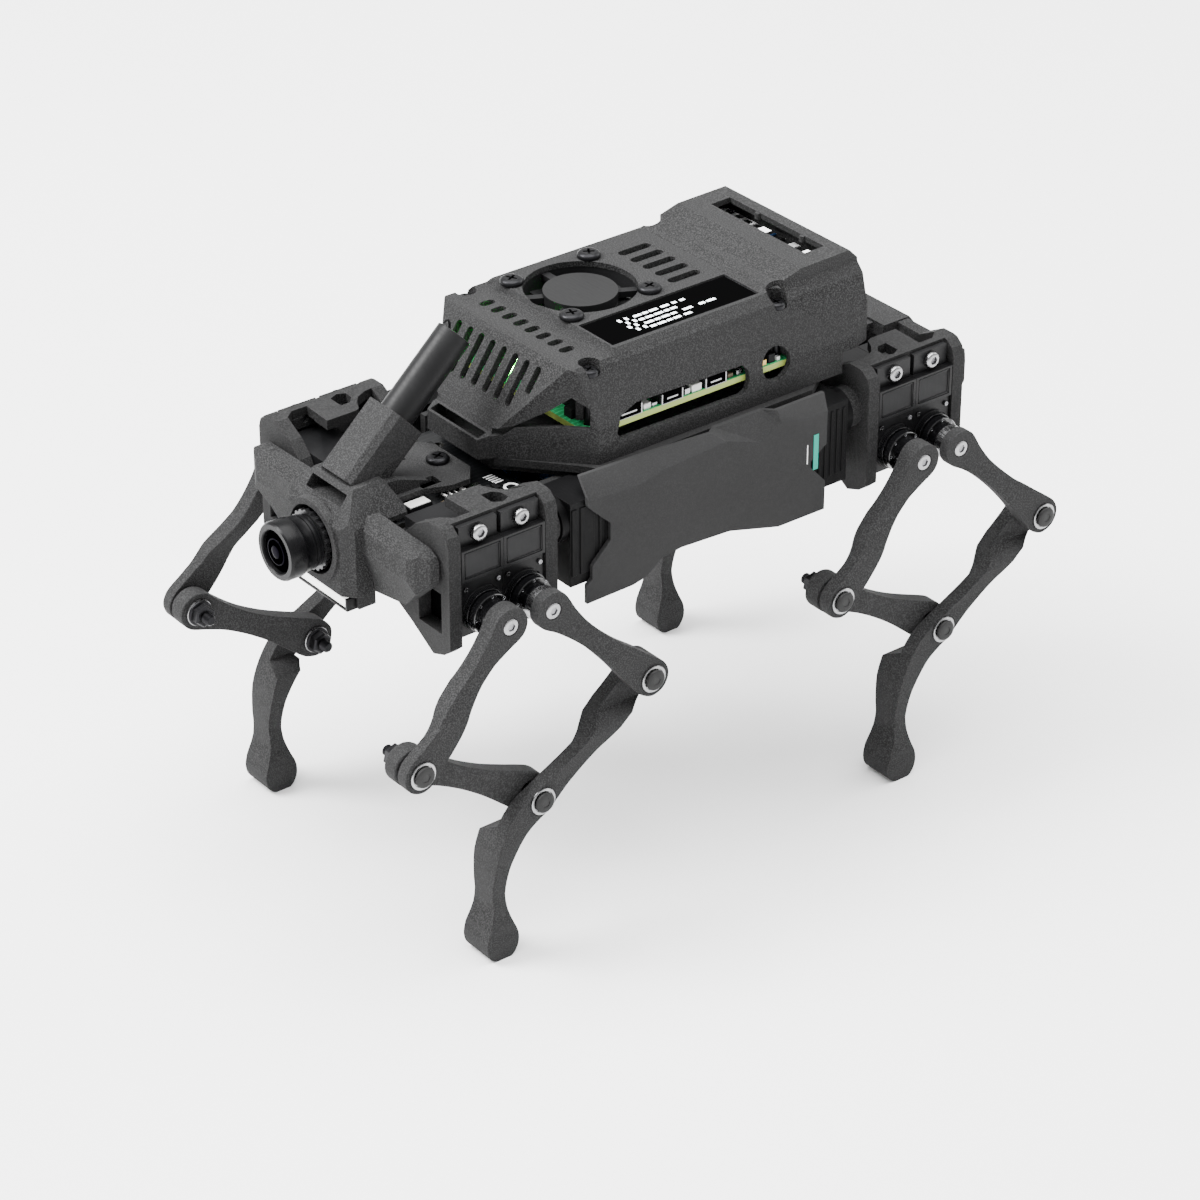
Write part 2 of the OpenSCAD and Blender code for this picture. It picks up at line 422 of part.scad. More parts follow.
module case_screws() color(bolt_c) body() {
  for (x = [-12, 12]) for (y = [-12, 12]) pan_screw([fan_c[0] + x, fan_c[1] + y], deck_z + 0.02, 3, 8);
  for (x = [-24.5, 24.5]) for (y = [-28, 30]) pan_screw([x, y], 132.65, 2.3, 22);
  rod_z(108.02, 109.4, [0, -55], 2.9, 32);
  rod_z(101.2, 108.1, [0, -55], 1, 24);
  rod_z(108.02, 109.4, [0, 55], 2.9, 32);
  rod_z(101.2, 108.1, [0, 55], 1, 24);
}

// ================= named nodes of the four legs =================
module front_left_hip_bracket() color(print_c) leg("left", "front") hip_bracket("front");
module front_right_hip_bracket() color(print_c) leg("right", "front") hip_bracket("front");
module rear_left_hip_bracket() color(print_c) leg("left", "rear") hip_bracket("rear");
module rear_right_hip_bracket() color(print_c) leg("right", "rear") hip_bracket("rear");
module front_left_leg_servos() color(servo_c) leg("left", "front") leg_servos();
module front_right_leg_servos() color(servo_c) leg("right", "front") leg_servos();
module rear_left_leg_servos() color(servo_c) leg("left", "rear") leg_servos();
module rear_right_leg_servos() color(servo_c) leg("right", "rear") leg_servos();
module front_left_thigh() color(print_c) leg("left", "front") thigh_link();
module front_right_thigh() color(print_c) leg("right", "front") thigh_link();
module rear_left_thigh() color(print_c) leg("left", "rear") thigh_link();
module rear_right_thigh() color(print_c) leg("right", "rear") thigh_link();
module front_left_thigh_hub() color(steel_c) leg("left", "front") thigh_hub();
module front_right_thigh_hub() color(steel_c) leg("right", "front") thigh_hub();
module rear_left_thigh_hub() color(steel_c) leg("left", "rear") thigh_hub();
module rear_right_thigh_hub() color(steel_c) leg("right", "rear") thigh_hub();
module front_left_rear_link() color(print_c) leg("left", "front") rear_link();
module front_right_rear_link() color(print_c) leg("right", "front") rear_link();
module rear_left_rear_link() color(print_c) leg("left", "rear") rear_link();
module rear_right_rear_link() color(print_c) leg("right", "rear") rear_link();
module front_left_rear_hub() color(steel_c) leg("left", "front") rear_hub();
module front_right_rear_hub() color(steel_c) leg("right", "front") rear_hub();
module rear_left_rear_hub() color(steel_c) leg("left", "rear") rear_hub();
module rear_right_rear_hub() color(steel_c) leg("right", "rear") rear_hub();
module front_left_knee_bolt() color(bolt_c) leg("left", "front") knee_bolt();
module front_right_knee_bolt() color(bolt_c) leg("right", "front") knee_bolt();
module rear_left_knee_bolt() color(bolt_c) leg("left", "rear") knee_bolt();
module rear_right_knee_bolt() color(bolt_c) leg("right", "rear") knee_bolt();
module front_left_knee_link() color(print_c) leg("left", "front") knee_link();
module front_right_knee_link() color(print_c) leg("right", "front") knee_link();
module rear_left_knee_link() color(print_c) leg("left", "rear") knee_link();
module rear_right_knee_link() color(print_c) leg("right", "rear") knee_link();
module front_left_elbow_bolt() color(bolt_c) leg("left", "front") elbow_bolt();
module front_right_elbow_bolt() color(bolt_c) leg("right", "front") elbow_bolt();
module rear_left_elbow_bolt() color(bolt_c) leg("left", "rear") elbow_bolt();
module rear_right_elbow_bolt() color(bolt_c) leg("right", "rear") elbow_bolt();
module front_left_shin() color(print_c) leg("left", "front") shin_link();
module front_right_shin() color(print_c) leg("right", "front") shin_link();
module rear_left_shin() color(print_c) leg("left", "rear") shin_link();
module rear_right_shin() color(print_c) leg("right", "rear") shin_link();
module front_left_shin_bolt() color(bolt_c) leg("left", "front") shin_bolt();
module front_right_shin_bolt() color(bolt_c) leg("right", "front") shin_bolt();
module rear_left_shin_bolt() color(bolt_c) leg("left", "rear") shin_bolt();
module rear_right_shin_bolt() color(bolt_c) leg("right", "rear") shin_bolt();

chassis_frame();
side_armor();
hip_servos();
control_board();
battery_pack();
head_shell();
tail_frame();
camera_module();
light_bar();
neck_tube();
top_case();
computer_board();
fan_frame();
fan_rotor();
display_panel();
case_screws();
front_left_hip_bracket();
front_left_leg_servos();
front_left_thigh();
front_left_thigh_hub();
front_left_rear_link();
front_left_rear_hub();
front_left_knee_bolt();
front_left_knee_link();
front_left_elbow_bolt();
front_left_shin();
front_left_shin_bolt();
front_right_hip_bracket();
front_right_leg_servos();
front_right_thigh();
front_right_thigh_hub();
front_right_rear_link();
front_right_rear_hub();
front_right_knee_bolt();
front_right_knee_link();
front_right_elbow_bolt();
front_right_shin();
front_right_shin_bolt();
rear_left_hip_bracket();
rear_left_leg_servos();
rear_left_thigh();
rear_left_thigh_hub();
rear_left_rear_link();
rear_left_rear_hub();
rear_left_knee_bolt();
rear_left_knee_link();
rear_left_elbow_bolt();
rear_left_shin();
rear_left_shin_bolt();
rear_right_hip_bracket();
rear_right_leg_servos();
rear_right_thigh();
rear_right_thigh_hub();
rear_right_rear_link();
rear_right_rear_hub();
rear_right_knee_bolt();
rear_right_knee_link();
rear_right_elbow_bolt();
rear_right_shin();
rear_right_shin_bolt();
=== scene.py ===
import json, math
import bpy, bmesh
from mathutils import Matrix, Vector
from mathutils.geometry import tessellate_polygon


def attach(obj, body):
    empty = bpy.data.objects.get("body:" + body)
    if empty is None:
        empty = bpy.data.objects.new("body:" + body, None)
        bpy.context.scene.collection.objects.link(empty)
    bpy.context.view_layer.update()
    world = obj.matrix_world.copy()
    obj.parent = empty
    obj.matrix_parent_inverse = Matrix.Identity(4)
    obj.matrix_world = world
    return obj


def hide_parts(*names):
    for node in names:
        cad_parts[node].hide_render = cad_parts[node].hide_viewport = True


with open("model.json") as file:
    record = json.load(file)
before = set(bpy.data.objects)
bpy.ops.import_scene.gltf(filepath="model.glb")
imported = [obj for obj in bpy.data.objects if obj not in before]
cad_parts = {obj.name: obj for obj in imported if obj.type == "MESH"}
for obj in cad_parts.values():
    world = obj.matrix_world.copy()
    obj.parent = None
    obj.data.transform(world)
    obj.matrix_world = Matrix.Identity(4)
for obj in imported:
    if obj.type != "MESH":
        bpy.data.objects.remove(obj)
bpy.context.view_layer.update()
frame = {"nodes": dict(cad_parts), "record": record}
rec = frame["record"]
MM = 0.001
YO = -0.65


def rad(a):
    return math.radians(a)


# ------------------------------------------------------------------ camera
az, el = rad(51.84), rad(30.609)
back = Vector((math.sin(az) * math.cos(el), -math.cos(az) * math.cos(el), math.sin(el)))
cam_data = bpy.data.cameras.new("camera")
cam = bpy.data.objects.new("camera", cam_data)
bpy.context.scene.collection.objects.link(cam)
cam.location = (0.687628, -0.546423, 0.568286)
cam.rotation_euler = (-back).to_track_quat("-Z", "Y").to_euler()
cam_data.sensor_width = 36.0
cam_data.lens = 119.96
cam_data.clip_start = 0.05
cam_data.clip_end = 20
bpy.context.scene.camera = cam


# ------------------------------------------------------------------ materials
class Nodes:
    def __init__(self, name, color, rough, metal=0.0, spec=0.5, coat=0.0, coat_rough=0.1, ior=1.5):
        self.mat = bpy.data.materials.new(name)
        self.mat.use_nodes = True
        self.t = self.mat.node_tree
        self.b = self.t.nodes["Principled BSDF"]
        self.b.inputs["Base Color"].default_value = (*color, 1)
        self.b.inputs["Roughness"].default_value = rough
        self.b.inputs["Metallic"].default_value = metal
        self.b.inputs["Specular IOR Level"].default_value = spec
        self.b.inputs["Coat Weight"].default_value = coat
        self.b.inputs["Coat Roughness"].default_value = coat_rough
        self.b.inputs["IOR"].default_value = ior
        self.co = self.t.nodes.new("ShaderNodeTexCoord").outputs["Object"]

    def link(self, a, b):
        self.t.links.new(a, b)

    def mapped(self, scale=(1, 1, 1), rot=(0, 0, 0)):
        m = self.t.nodes.new("ShaderNodeMapping")
        m.inputs["Scale"].default_value = scale
        m.inputs["Rotation"].default_value = rot
        self.link(self.co, m.inputs["Vector"])
        return m.outputs["Vector"]

    def noise(self, scale, detail=2.0, rough=0.5, vec=None, dist=0.0):
        n = self.t.nodes.new("ShaderNodeTexNoise")
        n.inputs["Scale"].default_value = scale
        n.inputs["Detail"].default_value = detail
        n.inputs["Roughness"].default_value = rough
        n.inputs["Distortion"].default_value = dist
        self.link(vec or self.co, n.inputs["Vector"])
        return n.outputs["Fac"]

    def voronoi(self, scale, feature="F1", vec=None):
        n = self.t.nodes.new("ShaderNodeTexVoronoi")
        n.feature = feature
        n.inputs["Scale"].default_value = scale
        self.link(vec or self.co, n.inputs["Vector"])
        return n.outputs["Distance"]

    def wave(self, scale, vec=None, direction="X", dist=0.0, detail=0.0):
        n = self.t.nodes.new("ShaderNodeTexWave")
        n.bands_direction = direction
        n.inputs["Scale"].default_value = scale
        n.inputs["Distortion"].default_value = dist
        n.inputs["Detail"].default_value = detail
        self.link(vec or self.co, n.inputs["Vector"])
        return n.outputs["Fac"]

    def ramp(self, fac, stops):
        r = self.t.nodes.new("ShaderNodeValToRGB")
        e = r.color_ramp.elements
        while len(e) < len(stops):
            e.new(0.5)
        for el_, (p, c) in zip(e, stops):
            el_.position = p
            el_.color = (*c, 1) if len(c) == 3 else c
        self.link(fac, r.inputs["Fac"])
        return r.outputs["Color"]

    def range(self, fac, a, b, c, d):
        m = self.t.nodes.new("ShaderNodeMapRange")
        for k, v in zip(("From Min", "From Max", "To Min", "To Max"), (a, b, c, d)):
            m.inputs[k].default_value = v
        self.link(fac, m.inputs["Value"])
        return m.outputs["Result"]

    def math(self, op, a, b=None):
        m = self.t.nodes.new("ShaderNodeMath")
        m.operation = op
        for i, v in enumerate((a, b)):
            if v is None:
                continue
            if isinstance(v, (int, float)):
                m.inputs[i].default_value = v
            else:
                self.link(v, m.inputs[i])
        return m.outputs[0]

    def mix(self, fac, a, b, mode="MIX"):
        m = self.t.nodes.new("ShaderNodeMix")
        m.data_type = "RGBA"
        m.blend_type = mode
        if isinstance(fac, (int, float)):
            m.inputs[0].default_value = fac
        else:
            self.link(fac, m.inputs[0])
        for i, v in ((6, a), (7, b)):
            if isinstance(v, tuple):
                m.inputs[i].default_value = (*v, 1)
            else:
                self.link(v, m.inputs[i])
        return m.outputs[2]

    def bump(self, height, strength, dist, normal=None):
        n = self.t.nodes.new("ShaderNodeBump")
        n.inputs["Strength"].default_value = strength
        n.inputs["Distance"].default_value = dist
        self.link(height, n.inputs["Height"])
        if normal is not None:
            self.link(normal, n.inputs["Normal"])
        self.link(n.outputs["Normal"], self.b.inputs["Normal"])
        return n.outputs["Normal"]

    def color(self, c):
        self.link(c, self.b.inputs["Base Color"])

    def rough(self, r):
        self.link(r, self.b.inputs["Roughness"])


def edge_wear(n):
    g = n.t.nodes.new("ShaderNodeNewGeometry")
    return g.outputs["Pointiness"]


def printed(name, tone=1.0, grain=1.0, tint=(1.0, 1.0, 1.015), con=1.0):
    """Sintered nylon: fine sandy grain, faint blotches, lighter rubbed edges."""
    n = Nodes(name, (0.02, 0.02, 0.02), 0.85, spec=0.14)
    fine = n.noise(3000, 0.5, 0.5)
    mid = n.noise(800, 2.0, 0.6)
    blot = n.noise(55, 3.0, 0.55)
    speck = n.voronoi(2600)
    dark = tuple((0.062 - 0.044 * con) * tone * t for t in tint)
    base = tuple(0.062 * tone * t for t in tint)
    lite = tuple((0.062 + 0.1 * con) * tone * t for t in tint)
    c = n.ramp(fine, [(0.36, dark), (0.5, base), (0.64, lite)])
    c2 = n.ramp(mid, [(0.3, tuple(0.05 * tone * t for t in tint)), (0.7, tuple(0.085 * tone * t for t in tint))])
    c = n.mix(0.22, c, c2)
    tips = n.range(speck, 0.0, 0.22, 1.0, 0.0)
    c = n.mix(n.math("MULTIPLY", tips, 0.4 * con), c, tuple(0.22 * tone * t for t in tint))
    c = n.mix(n.range(blot, 0.35, 0.65, 0.0, 0.22), c, tuple(0.05 * tone * t for t in tint))
    wear = n.range(edge_wear(n), 0.505, 0.56, 0.0, 0.35)
    c = n.mix(wear, c, tuple(0.13 * tone * t for t in tint))
    n.color(c)
    n.rough(n.range(fine, 0.3, 0.7, 0.72, 0.95))
    h = n.math("ADD", n.math("MULTIPLY", fine, 0.7), n.math("MULTIPLY", mid, 0.6))
    n.bump(h, 0.6 * grain, 0.00016)
    return n.mat


def moulded(name, color, rough=0.38, scale=1400, var=0.25, coat=0.0, bump=0.12, spec=0.12):
    """Moulded plastic: faint spark texture, uneven gloss, slight rub marks."""
    color = tuple(v * 0.3 for v in color)
    n = Nodes(name, color, rough, spec=spec, coat=coat * 0.5)
    f = n.noise(scale, 3, 0.6)
    b = n.noise(90, 4, 0.6)
    s = n.noise(260, 2, 0.5, n.mapped((1, 7, 1)))
    c = n.mix(n.range(b, 0.35, 0.7, 0.0, 1.0), tuple(v * (1 - var) for v in color), tuple(min(1, v * (1 + var)) for v in color))
    wear = n.range(edge_wear(n), 0.51, 0.57, 0.0, 0.25)
    c = n.mix(wear, c, tuple(min(1, v * 2.2 + 0.004) for v in color))
    n.color(c)
    n.rough(n.range(n.math("ADD", n.math("MULTIPLY", b, 0.6), n.math("MULTIPLY", s, 0.4)), 0.3, 0.7, max(0.03, rough - 0.09), rough + 0.12))
    n.bump(f, bump, 0.00006)
    return n.mat


def metal(name, color, rough=0.25, scale=900, stretch=(1, 1, 14), bump=0.1, metallic=1.0):
    """Turned or plated metal: fine directional marks and patchy gloss."""
    color = tuple(v * 0.42 for v in color)
    n = Nodes(name, color, rough, metal=metallic, spec=0.3)
    a = n.noise(scale, 3, 0.7, n.mapped(stretch))
    b = n.noise(300, 3, 0.6)
    n.color(n.mix(n.range(b, 0.35, 0.7, 0.0, 1.0), tuple(v * 0.82 for v in color), tuple(min(1, v * 1.08) for v in color)))
    n.rough(n.range(a, 0.3, 0.7, max(0.05, rough - 0.1), rough + 0.14))
    n.bump(a, bump, 0.00003)
    return n.mat


def board(name, base, trace, edge=None):
    """Solder mask over copper: fine routed lines, vias and a slight sheen."""
    n = Nodes(name, base, 0.35, spec=0.25, coat=0.1, coat_rough=0.15)
    w1 = n.wave(210, n.mapped((1, 1, 0)), "X", 3.0, 1.0)
    w2 = n.wave(180, n.mapped((1, 1, 0)), "Y", 4.0, 1.0)
    area = n.noise(75, 1, 0.5, n.mapped((1, 1, 0)))
    lines = n.math("MULTIPLY", n.range(w1, 0.78, 0.86, 0.0, 1.0), n.range(area, 0.45, 0.5, 0.0, 1.0))
    lines2 = n.math("MULTIPLY", n.range(w2, 0.8, 0.88, 0.0, 1.0), n.range(area, 0.52, 0.47, 0.0, 1.0))
    vias = n.range(n.voronoi(520, vec=n.mapped((1, 1, 0))), 0.12, 0.16, 1.0, 0.0)
    pat = n.math("MAXIMUM", n.math("MAXIMUM", lines, lines2), n.math("MULTIPLY", vias, 0.8))
    c = n.mix(pat, base, trace)
    if edge:
        g = n.t.nodes.new("ShaderNodeNewGeometry")
        sep = n.t.nodes.new("ShaderNodeSeparateXYZ")
        n.link(g.outputs["True Normal"], sep.inputs[0])
        side = n.range(n.math("ABSOLUTE", sep.outputs[2]), 0.5, 0.6, 1.0, 0.0)
        c = n.mix(side, c, edge)
    n.color(c)
    n.bump(pat, 0.15, 0.00004)
    return n.mat


P = printed("printed_nylon", 0.225, con=1.1)
P_TOP = printed("printed_nylon_case", 0.188, con=1.5)
P_LEG = printed("printed_nylon_legs", 0.203, con=1.15)
P_BR = printed("printed_nylon_bracket", 0.168, con=1.0)
P_DARK = printed("printed_nylon_frame", 0.15)
P_ARM = printed("printed_nylon_armor", 0.24, 0.45, con=0.3)
SERVO = moulded("servo_case_black", (0.0135, 0.0135, 0.0145), 0.36)
# a darker, duller copy of the servo black for the hip servos: painted shade for the servos that sit between the
# brackets and the armour
SERVO_H_SHADED = moulded("hip_servo_black_painted_shade", (0.0065, 0.0065, 0.007), 0.5, spec=0.05)
SERVO_LABEL = moulded("servo_label_field", (0.042, 0.042, 0.0435), 0.6, 1800, 0.15)
HORN = moulded("servo_horn_gloss", (0.006, 0.006, 0.007), 0.12, 700, 0.3, coat=0.5, spec=0.3)
RUBBER = moulded("tube_black", (0.021, 0.021, 0.022), 0.42, 600, 0.2)
STEEL = metal("steel_turned", (0.62, 0.62, 0.63), 0.24)
STEEL_DULL = metal("steel_stamped", (0.5, 0.5, 0.52), 0.33)
DARKSTEEL = metal("steel_black_oxide", (0.028, 0.028, 0.031), 0.36, metallic=0.8)
GOLD = metal("contact_gold", (0.9, 0.62, 0.22), 0.25)
BLACKP = moulded("connector_black", (0.012, 0.012, 0.013), 0.42)
WHITEP = moulded("connector_white", (1.6, 1.6, 1.52), 0.5)
# white for printed marks, also used for painted highlights on the port tops
WHITE_PRINT_AND_HIGHLIGHT = moulded("white_print_and_painted_highlight", (2.2, 2.2, 2.2), 0.6, 900, 0.08)
TEAL_INK = moulded("teal_ink", (0.03, 0.6, 0.45), 0.55, 900, 0.12)
PCB_G = board("board_green", (0.022, 0.26, 0.085), (0.05, 0.4, 0.16), (0.24, 0.3, 0.07))
PCB_K = board("board_black", (0.002, 0.0022, 0.0025), (0.006, 0.0065, 0.007), (0.008, 0.008, 0.007))
CHIP = moulded("chip_epoxy", (0.013, 0.013, 0.014), 0.55, 2200)
CERAMIC = moulded("chip_ceramic", (0.26, 0.2, 0.13), 0.5)
FANP = moulded("fan_black", (0.02, 0.02, 0.021), 0.45)
FAN_HUB = moulded("fan_hub_label", (0.026, 0.026, 0.0265), 0.5, 900, 0.06)
CELL = moulded("cell_sleeve", (0.03, 0.09, 0.24), 0.3, 500, 0.2, coat=0.4)
# no-sheen black for the display and lens glass, also used as painted shade in the port mouths and the bracket side
# windows
SCREEN_BLACK_AND_SHADE = moulded("screen_glass_and_painted_shade", (0.0004, 0.0004, 0.0005), 0.16, 300, 0.2, coat=0.0, bump=0.02)
SCREEN_BLACK_AND_SHADE.node_tree.nodes["Principled BSDF"].inputs["Specular IOR Level"].default_value = 0.0


def light_mat():
    n = Nodes("light_diffuser", (0.9, 0.9, 0.88), 0.35, spec=0.5, coat=0.3)
    a = n.voronoi(700, vec=n.mapped((1, 0.2, 1)))
    n.color(n.ramp(a, [(0.0, (0.98, 0.98, 0.95)), (0.5, (0.84, 0.84, 0.82))]))
    n.bump(a, 0.25, 0.0001)
    n.b.inputs["Emission Color"].default_value = (1, 1, 0.97, 1)
    n.b.inputs["Emission Strength"].default_value = 1.5
    return n.mat


def glow_mat():
    n = Nodes("screen_marks", (0.8, 0.85, 0.9), 0.4)
    a = n.noise(2500, 2)
    n.color(n.mix(n.range(a, 0.3, 0.7, 0, 1), (0.7, 0.75, 0.8), (0.95, 0.97, 1.0)))
    n.b.inputs["Emission Color"].default_value = (0.9, 0.95, 1.0, 1)
    n.b.inputs["Emission Strength"].default_value = 2.5
    return n.mat


# near-black glass with a faint purple tint: painted glint of the lens coating
def lens_glint_mat():
    n = Nodes("lens_glass_painted_glint", (0.001, 0.001, 0.0015), 0.06, spec=0.01, ior=1.45)
    a = n.noise(120, 2)
    n.color(n.mix(n.range(a, 0.3, 0.7, 0, 1), (0.0006, 0.0006, 0.001), (0.002, 0.0012, 0.004)))
    n.rough(n.range(n.noise(500, 3), 0.3, 0.7, 0.02, 0.06))
    return n.mat


def led_mat():
    n = Nodes("board_led", (0.1, 0.9, 0.3), 0.4)
    n.color(n.mix(n.range(n.noise(900, 2), 0.3, 0.7, 0, 1), (0.05, 0.8, 0.2), (0.3, 1.0, 0.5)))
    n.b.inputs["Emission Color"].default_value = (0.015, 1.0, 0.05, 1)
    n.b.inputs["Emission Strength"].default_value = 300.0
    return n.mat


LED = led_mat()
BOLT = moulded("bolt_head_black", (0.045, 0.045, 0.045), 0.5, 1500, 0.2, spec=0.12)
RING = metal("lock_ring_black", (0.13, 0.13, 0.135), 0.3, metallic=0.9)
LIGHT = light_mat()
GLOW = glow_mat()
LENS_GLINT = lens_glint_mat()


# ------------------------------------------------------------------ mesh helpers, all in millimetres
def basis(origin, axis, up=(0, 0, 1)):
    """Matrix whose local +Z lies along axis, at origin."""
    w = Vector(axis).normalized()
    u = Vector(up)
    if abs(u.normalized().dot(w)) > 0.98:
        u = Vector((1, 0, 0))
    x = u.cross(w).normalized()
    y = w.cross(x).normalized()
    m = Matrix((x, y, w)).transposed().to_4x4()
    m.translation = Vector(origin)
    return m


class Piece:
    """Collects shapes, then makes one object that rides on a body."""

    def __init__(self, flip=False):
        self.bm = bmesh.new()
        self.mats = []

    def mi(self, mat):
        if mat not in self.mats:
            self.mats.append(mat)
        return self.mats.index(mat)

    def part(self, verts, faces, mat, m=None):
        i = self.mi(mat)
        vs = [self.bm.verts.new((m @ Vector(v)) if m is not None else Vector(v)) for v in verts]
        made = []
        for f in faces:
            try:
                g = self.bm.faces.new([vs[k] for k in f])
                g.material_index = i
                g.smooth = True
                made.append(g)
            except ValueError:
                pass
        bmesh.ops.recalc_face_normals(self.bm, faces=made)
        return made

    def lathe(self, prof, mat, m=None, n=48, closed=False, a0=0.0):
        """prof: (radius, height) points, radius 0 points close the ends."""
        verts, faces, rings = [], [], []
        for r, h in prof:
            if r < 1e-6:
                rings.append([len(verts)])
                verts.append((0, 0, h))
            else:
                rings.append(list(range(len(verts), len(verts) + n)))
                for k in range(n):
                    a = a0 + 2 * math.pi * k / n
                    verts.append((r * math.cos(a), r * math.sin(a), h))
        pairs = list(zip(rings, rings[1:])) + ([(rings[-1], rings[0])] if closed else [])
        for a, b in pairs:
            for k in range(n):
                p = [a[k % len(a)], a[(k + 1) % n % len(a)], b[(k + 1) % n % len(b)], b[k % len(b)]]
                q = []
                for v in p:
                    if v not in q:
                        q.append(v)
                if len(q) > 2:
                    faces.append(q)
        return self.part(verts, faces, mat, m)

    def prism(self, outer, holes, z0, z1, mat, m=None):
        loops = [outer] + list(holes)
        flat = [p for l in loops for p in l]
        tris = tessellate_polygon([[Vector((p[0], p[1], 0)) for p in l] for l in loops])
        n = len(flat)
        verts = [(p[0], p[1], z0) for p in flat] + [(p[0], p[1], z1) for p in flat]
        faces = [[t[0], t[1], t[2]] for t in tris] + [[t[0] + n, t[1] + n, t[2] + n] for t in tris]
        s = 0
        for l in loops:
            k = len(l)
            for i in range(k):
                a, b = s + i, s + (i + 1) % k
                faces.append([a, b, b + n, a + n])
            s += k
        return self.part(verts, faces, mat, m)

    def box(self, a, b, mat, m=None, ch=0.0):
        (x0, y0, z0), (x1, y1, z1) = a, b
        if ch <= 0:
            v = [(x, y, z) for x in (x0, x1) for y in (y0, y1) for z in (z0, z1)]
            f = [(0, 1, 3, 2), (4, 6, 7, 5), (0, 4, 5, 1), (2, 3, 7, 6), (0, 2, 6, 4), (1, 5, 7, 3)]
            return self.part(v, f, mat, m)
        o = [(x0 + ch, y0), (x1 - ch, y0), (x1, y0 + ch), (x1, y1 - ch), (x1 - ch, y1), (x0 + ch, y1), (x0, y1 - ch), (x0, y0 + ch)]
        i = [(x0 + ch, y0 + ch), (x1 - ch, y0 + ch), (x1 - ch, y0 + ch), (x1 - ch, y1 - ch), (x1 - ch, y1 - ch), (x0 + ch, y1 - ch), (x0 + ch, y1 - ch), (x0 + ch, y0 + ch)]
        v = [(p[0], p[1], z0) for p in i] + [(p[0], p[1], z0 + ch) for p in o] + [(p[0], p[1], z1 - ch) for p in o] + [(p[0], p[1], z1) for p in i]
        f = []
        for r in range(3):
            for k in range(8):
                f.append([r * 8 + k, r * 8 + (k + 1) % 8, r * 8 + 8 + (k + 1) % 8, r * 8 + 8 + k])
        f.append([0, 1, 3, 5])
        f.append([24, 25, 27, 29])
        made = self.part(v, f, mat, m)
        return made

    def head(self, m, r, h, mat, sock="hex", sr=1.0, depth=0.7, dome=0.35, n=32, under=0.0, sock_mat=None):
        """Screw head: rounded rim, and a hex or cross recess with a floor."""
        if sock == "hex":
            hole = [(sr * math.cos(math.pi / 3 * k), sr * math.sin(math.pi / 3 * k)) for k in range(6)]
        else:
            w = sr * 0.24
            hole = []
            for k in range(4):
                c, s = math.cos(math.pi / 2 * k), math.sin(math.pi / 2 * k)
                for p in ((w, -w), (sr, -w * 0.75), (sr, w * 0.75)):
                    hole.append((p[0] * c - p[1] * s, p[0] * s + p[1] * c))
        k0 = 0.62 * r
        if sr > k0 - 0.15:
            k0 = sr + 0.2
        prof = [(r * 0.92, -under), (r, -under + 0.08), (r, h - dome)]
        for q in range(1, 5):
            a = math.pi / 2 * q / 4
            prof.append((k0 + (r - k0) * math.cos(a), h - dome + dome * math.sin(a)))
        self.lathe(prof, mat, m, n)
        self.prism_cap([(k0 * math.cos(2 * math.pi * k / n), k0 * math.sin(2 * math.pi * k / n)) for k in range(n)], hole, h, mat, m)
        v = [(p[0], p[1], h) for p in hole] + [(p[0] * 0.96, p[1] * 0.96, h - depth) for p in hole]
        q = len(hole)
        f = [[i, (i + 1) % q, q + (i + 1) % q, q + i] for i in range(q)]
        f.append([q + i for i in range(q)])
        made = self.part(v, f, sock_mat or mat, m)
        for g in made:
            g.smooth = False

    def prism_cap(self, outer, hole, z, mat, m):
        flat = list(outer) + list(hole)
        tris = tessellate_polygon([[Vector((p[0], p[1], 0)) for p in outer], [Vector((p[0], p[1], 0)) for p in hole]])
        made = self.part([(p[0], p[1], z) for p in flat], [list(t) for t in tris], mat, m)
        want = (m.to_3x3() @ Vector((0, 0, 1))) if m is not None else Vector((0, 0, 1))
        for g in made:
            g.normal_update()
            if g.normal.dot(want) < 0:
                g.normal_flip()

    def tube(self, pts, r, mat, n=12, caps=True):
        """Round tube through points."""
        verts, faces = [], []
        up = Vector((0.13, 0.21, 0.97))
        P_ = [Vector(p) for p in pts]
        for i, p in enumerate(P_):
            d = (P_[min(i + 1, len(P_) - 1)] - P_[max(i - 1, 0)]).normalized()
            x = up.cross(d).normalized()
            y = d.cross(x)
            rr = r[i] if isinstance(r, (list, tuple)) else r
            for k in range(n):
                a = 2 * math.pi * k / n
                verts.append(p + x * (rr * math.cos(a)) + y * (rr * math.sin(a)))
        for i in range(len(P_) - 1):
            for k in range(n):
                faces.append([i * n + k, i * n + (k + 1) % n, (i + 1) * n + (k + 1) % n, (i + 1) * n + k])
        if caps:
            faces.append(list(range(n)))
            faces.append([(len(P_) - 1) * n + k for k in range(n)])
        return self.part(verts, faces, mat)

    def make(self, name, body, slot=None, replaces=(), bevel=0.0, seg=2, sharp=35, mirror_x=False):
        bm = self.bm
        if mirror_x:
            for v in bm.verts:
                v.co.x = -v.co.x
            bmesh.ops.reverse_faces(bm, faces=bm.faces[:])
        for v in bm.verts:
            v.co = v.co * MM
        me = bpy.data.meshes.new(name)
        bm.to_mesh(me)
        bm.free()
        for mt in self.mats:
            me.materials.append(mt)
        o = bpy.data.objects.new(name, me)
        bpy.context.scene.collection.objects.link(o)
        if bevel > 0:
            md = o.modifiers.new("edge", "BEVEL")
            md.width = bevel * MM
            md.segments = seg
            md.limit_method = "ANGLE"
            md.angle_limit = rad(38)
            md.use_clamp_overlap = True
            freeze(o)
        o.data.set_sharp_from_angle(angle=rad(sharp))
        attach(o, body)
        if replaces:
            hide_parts(*replaces)
        return o


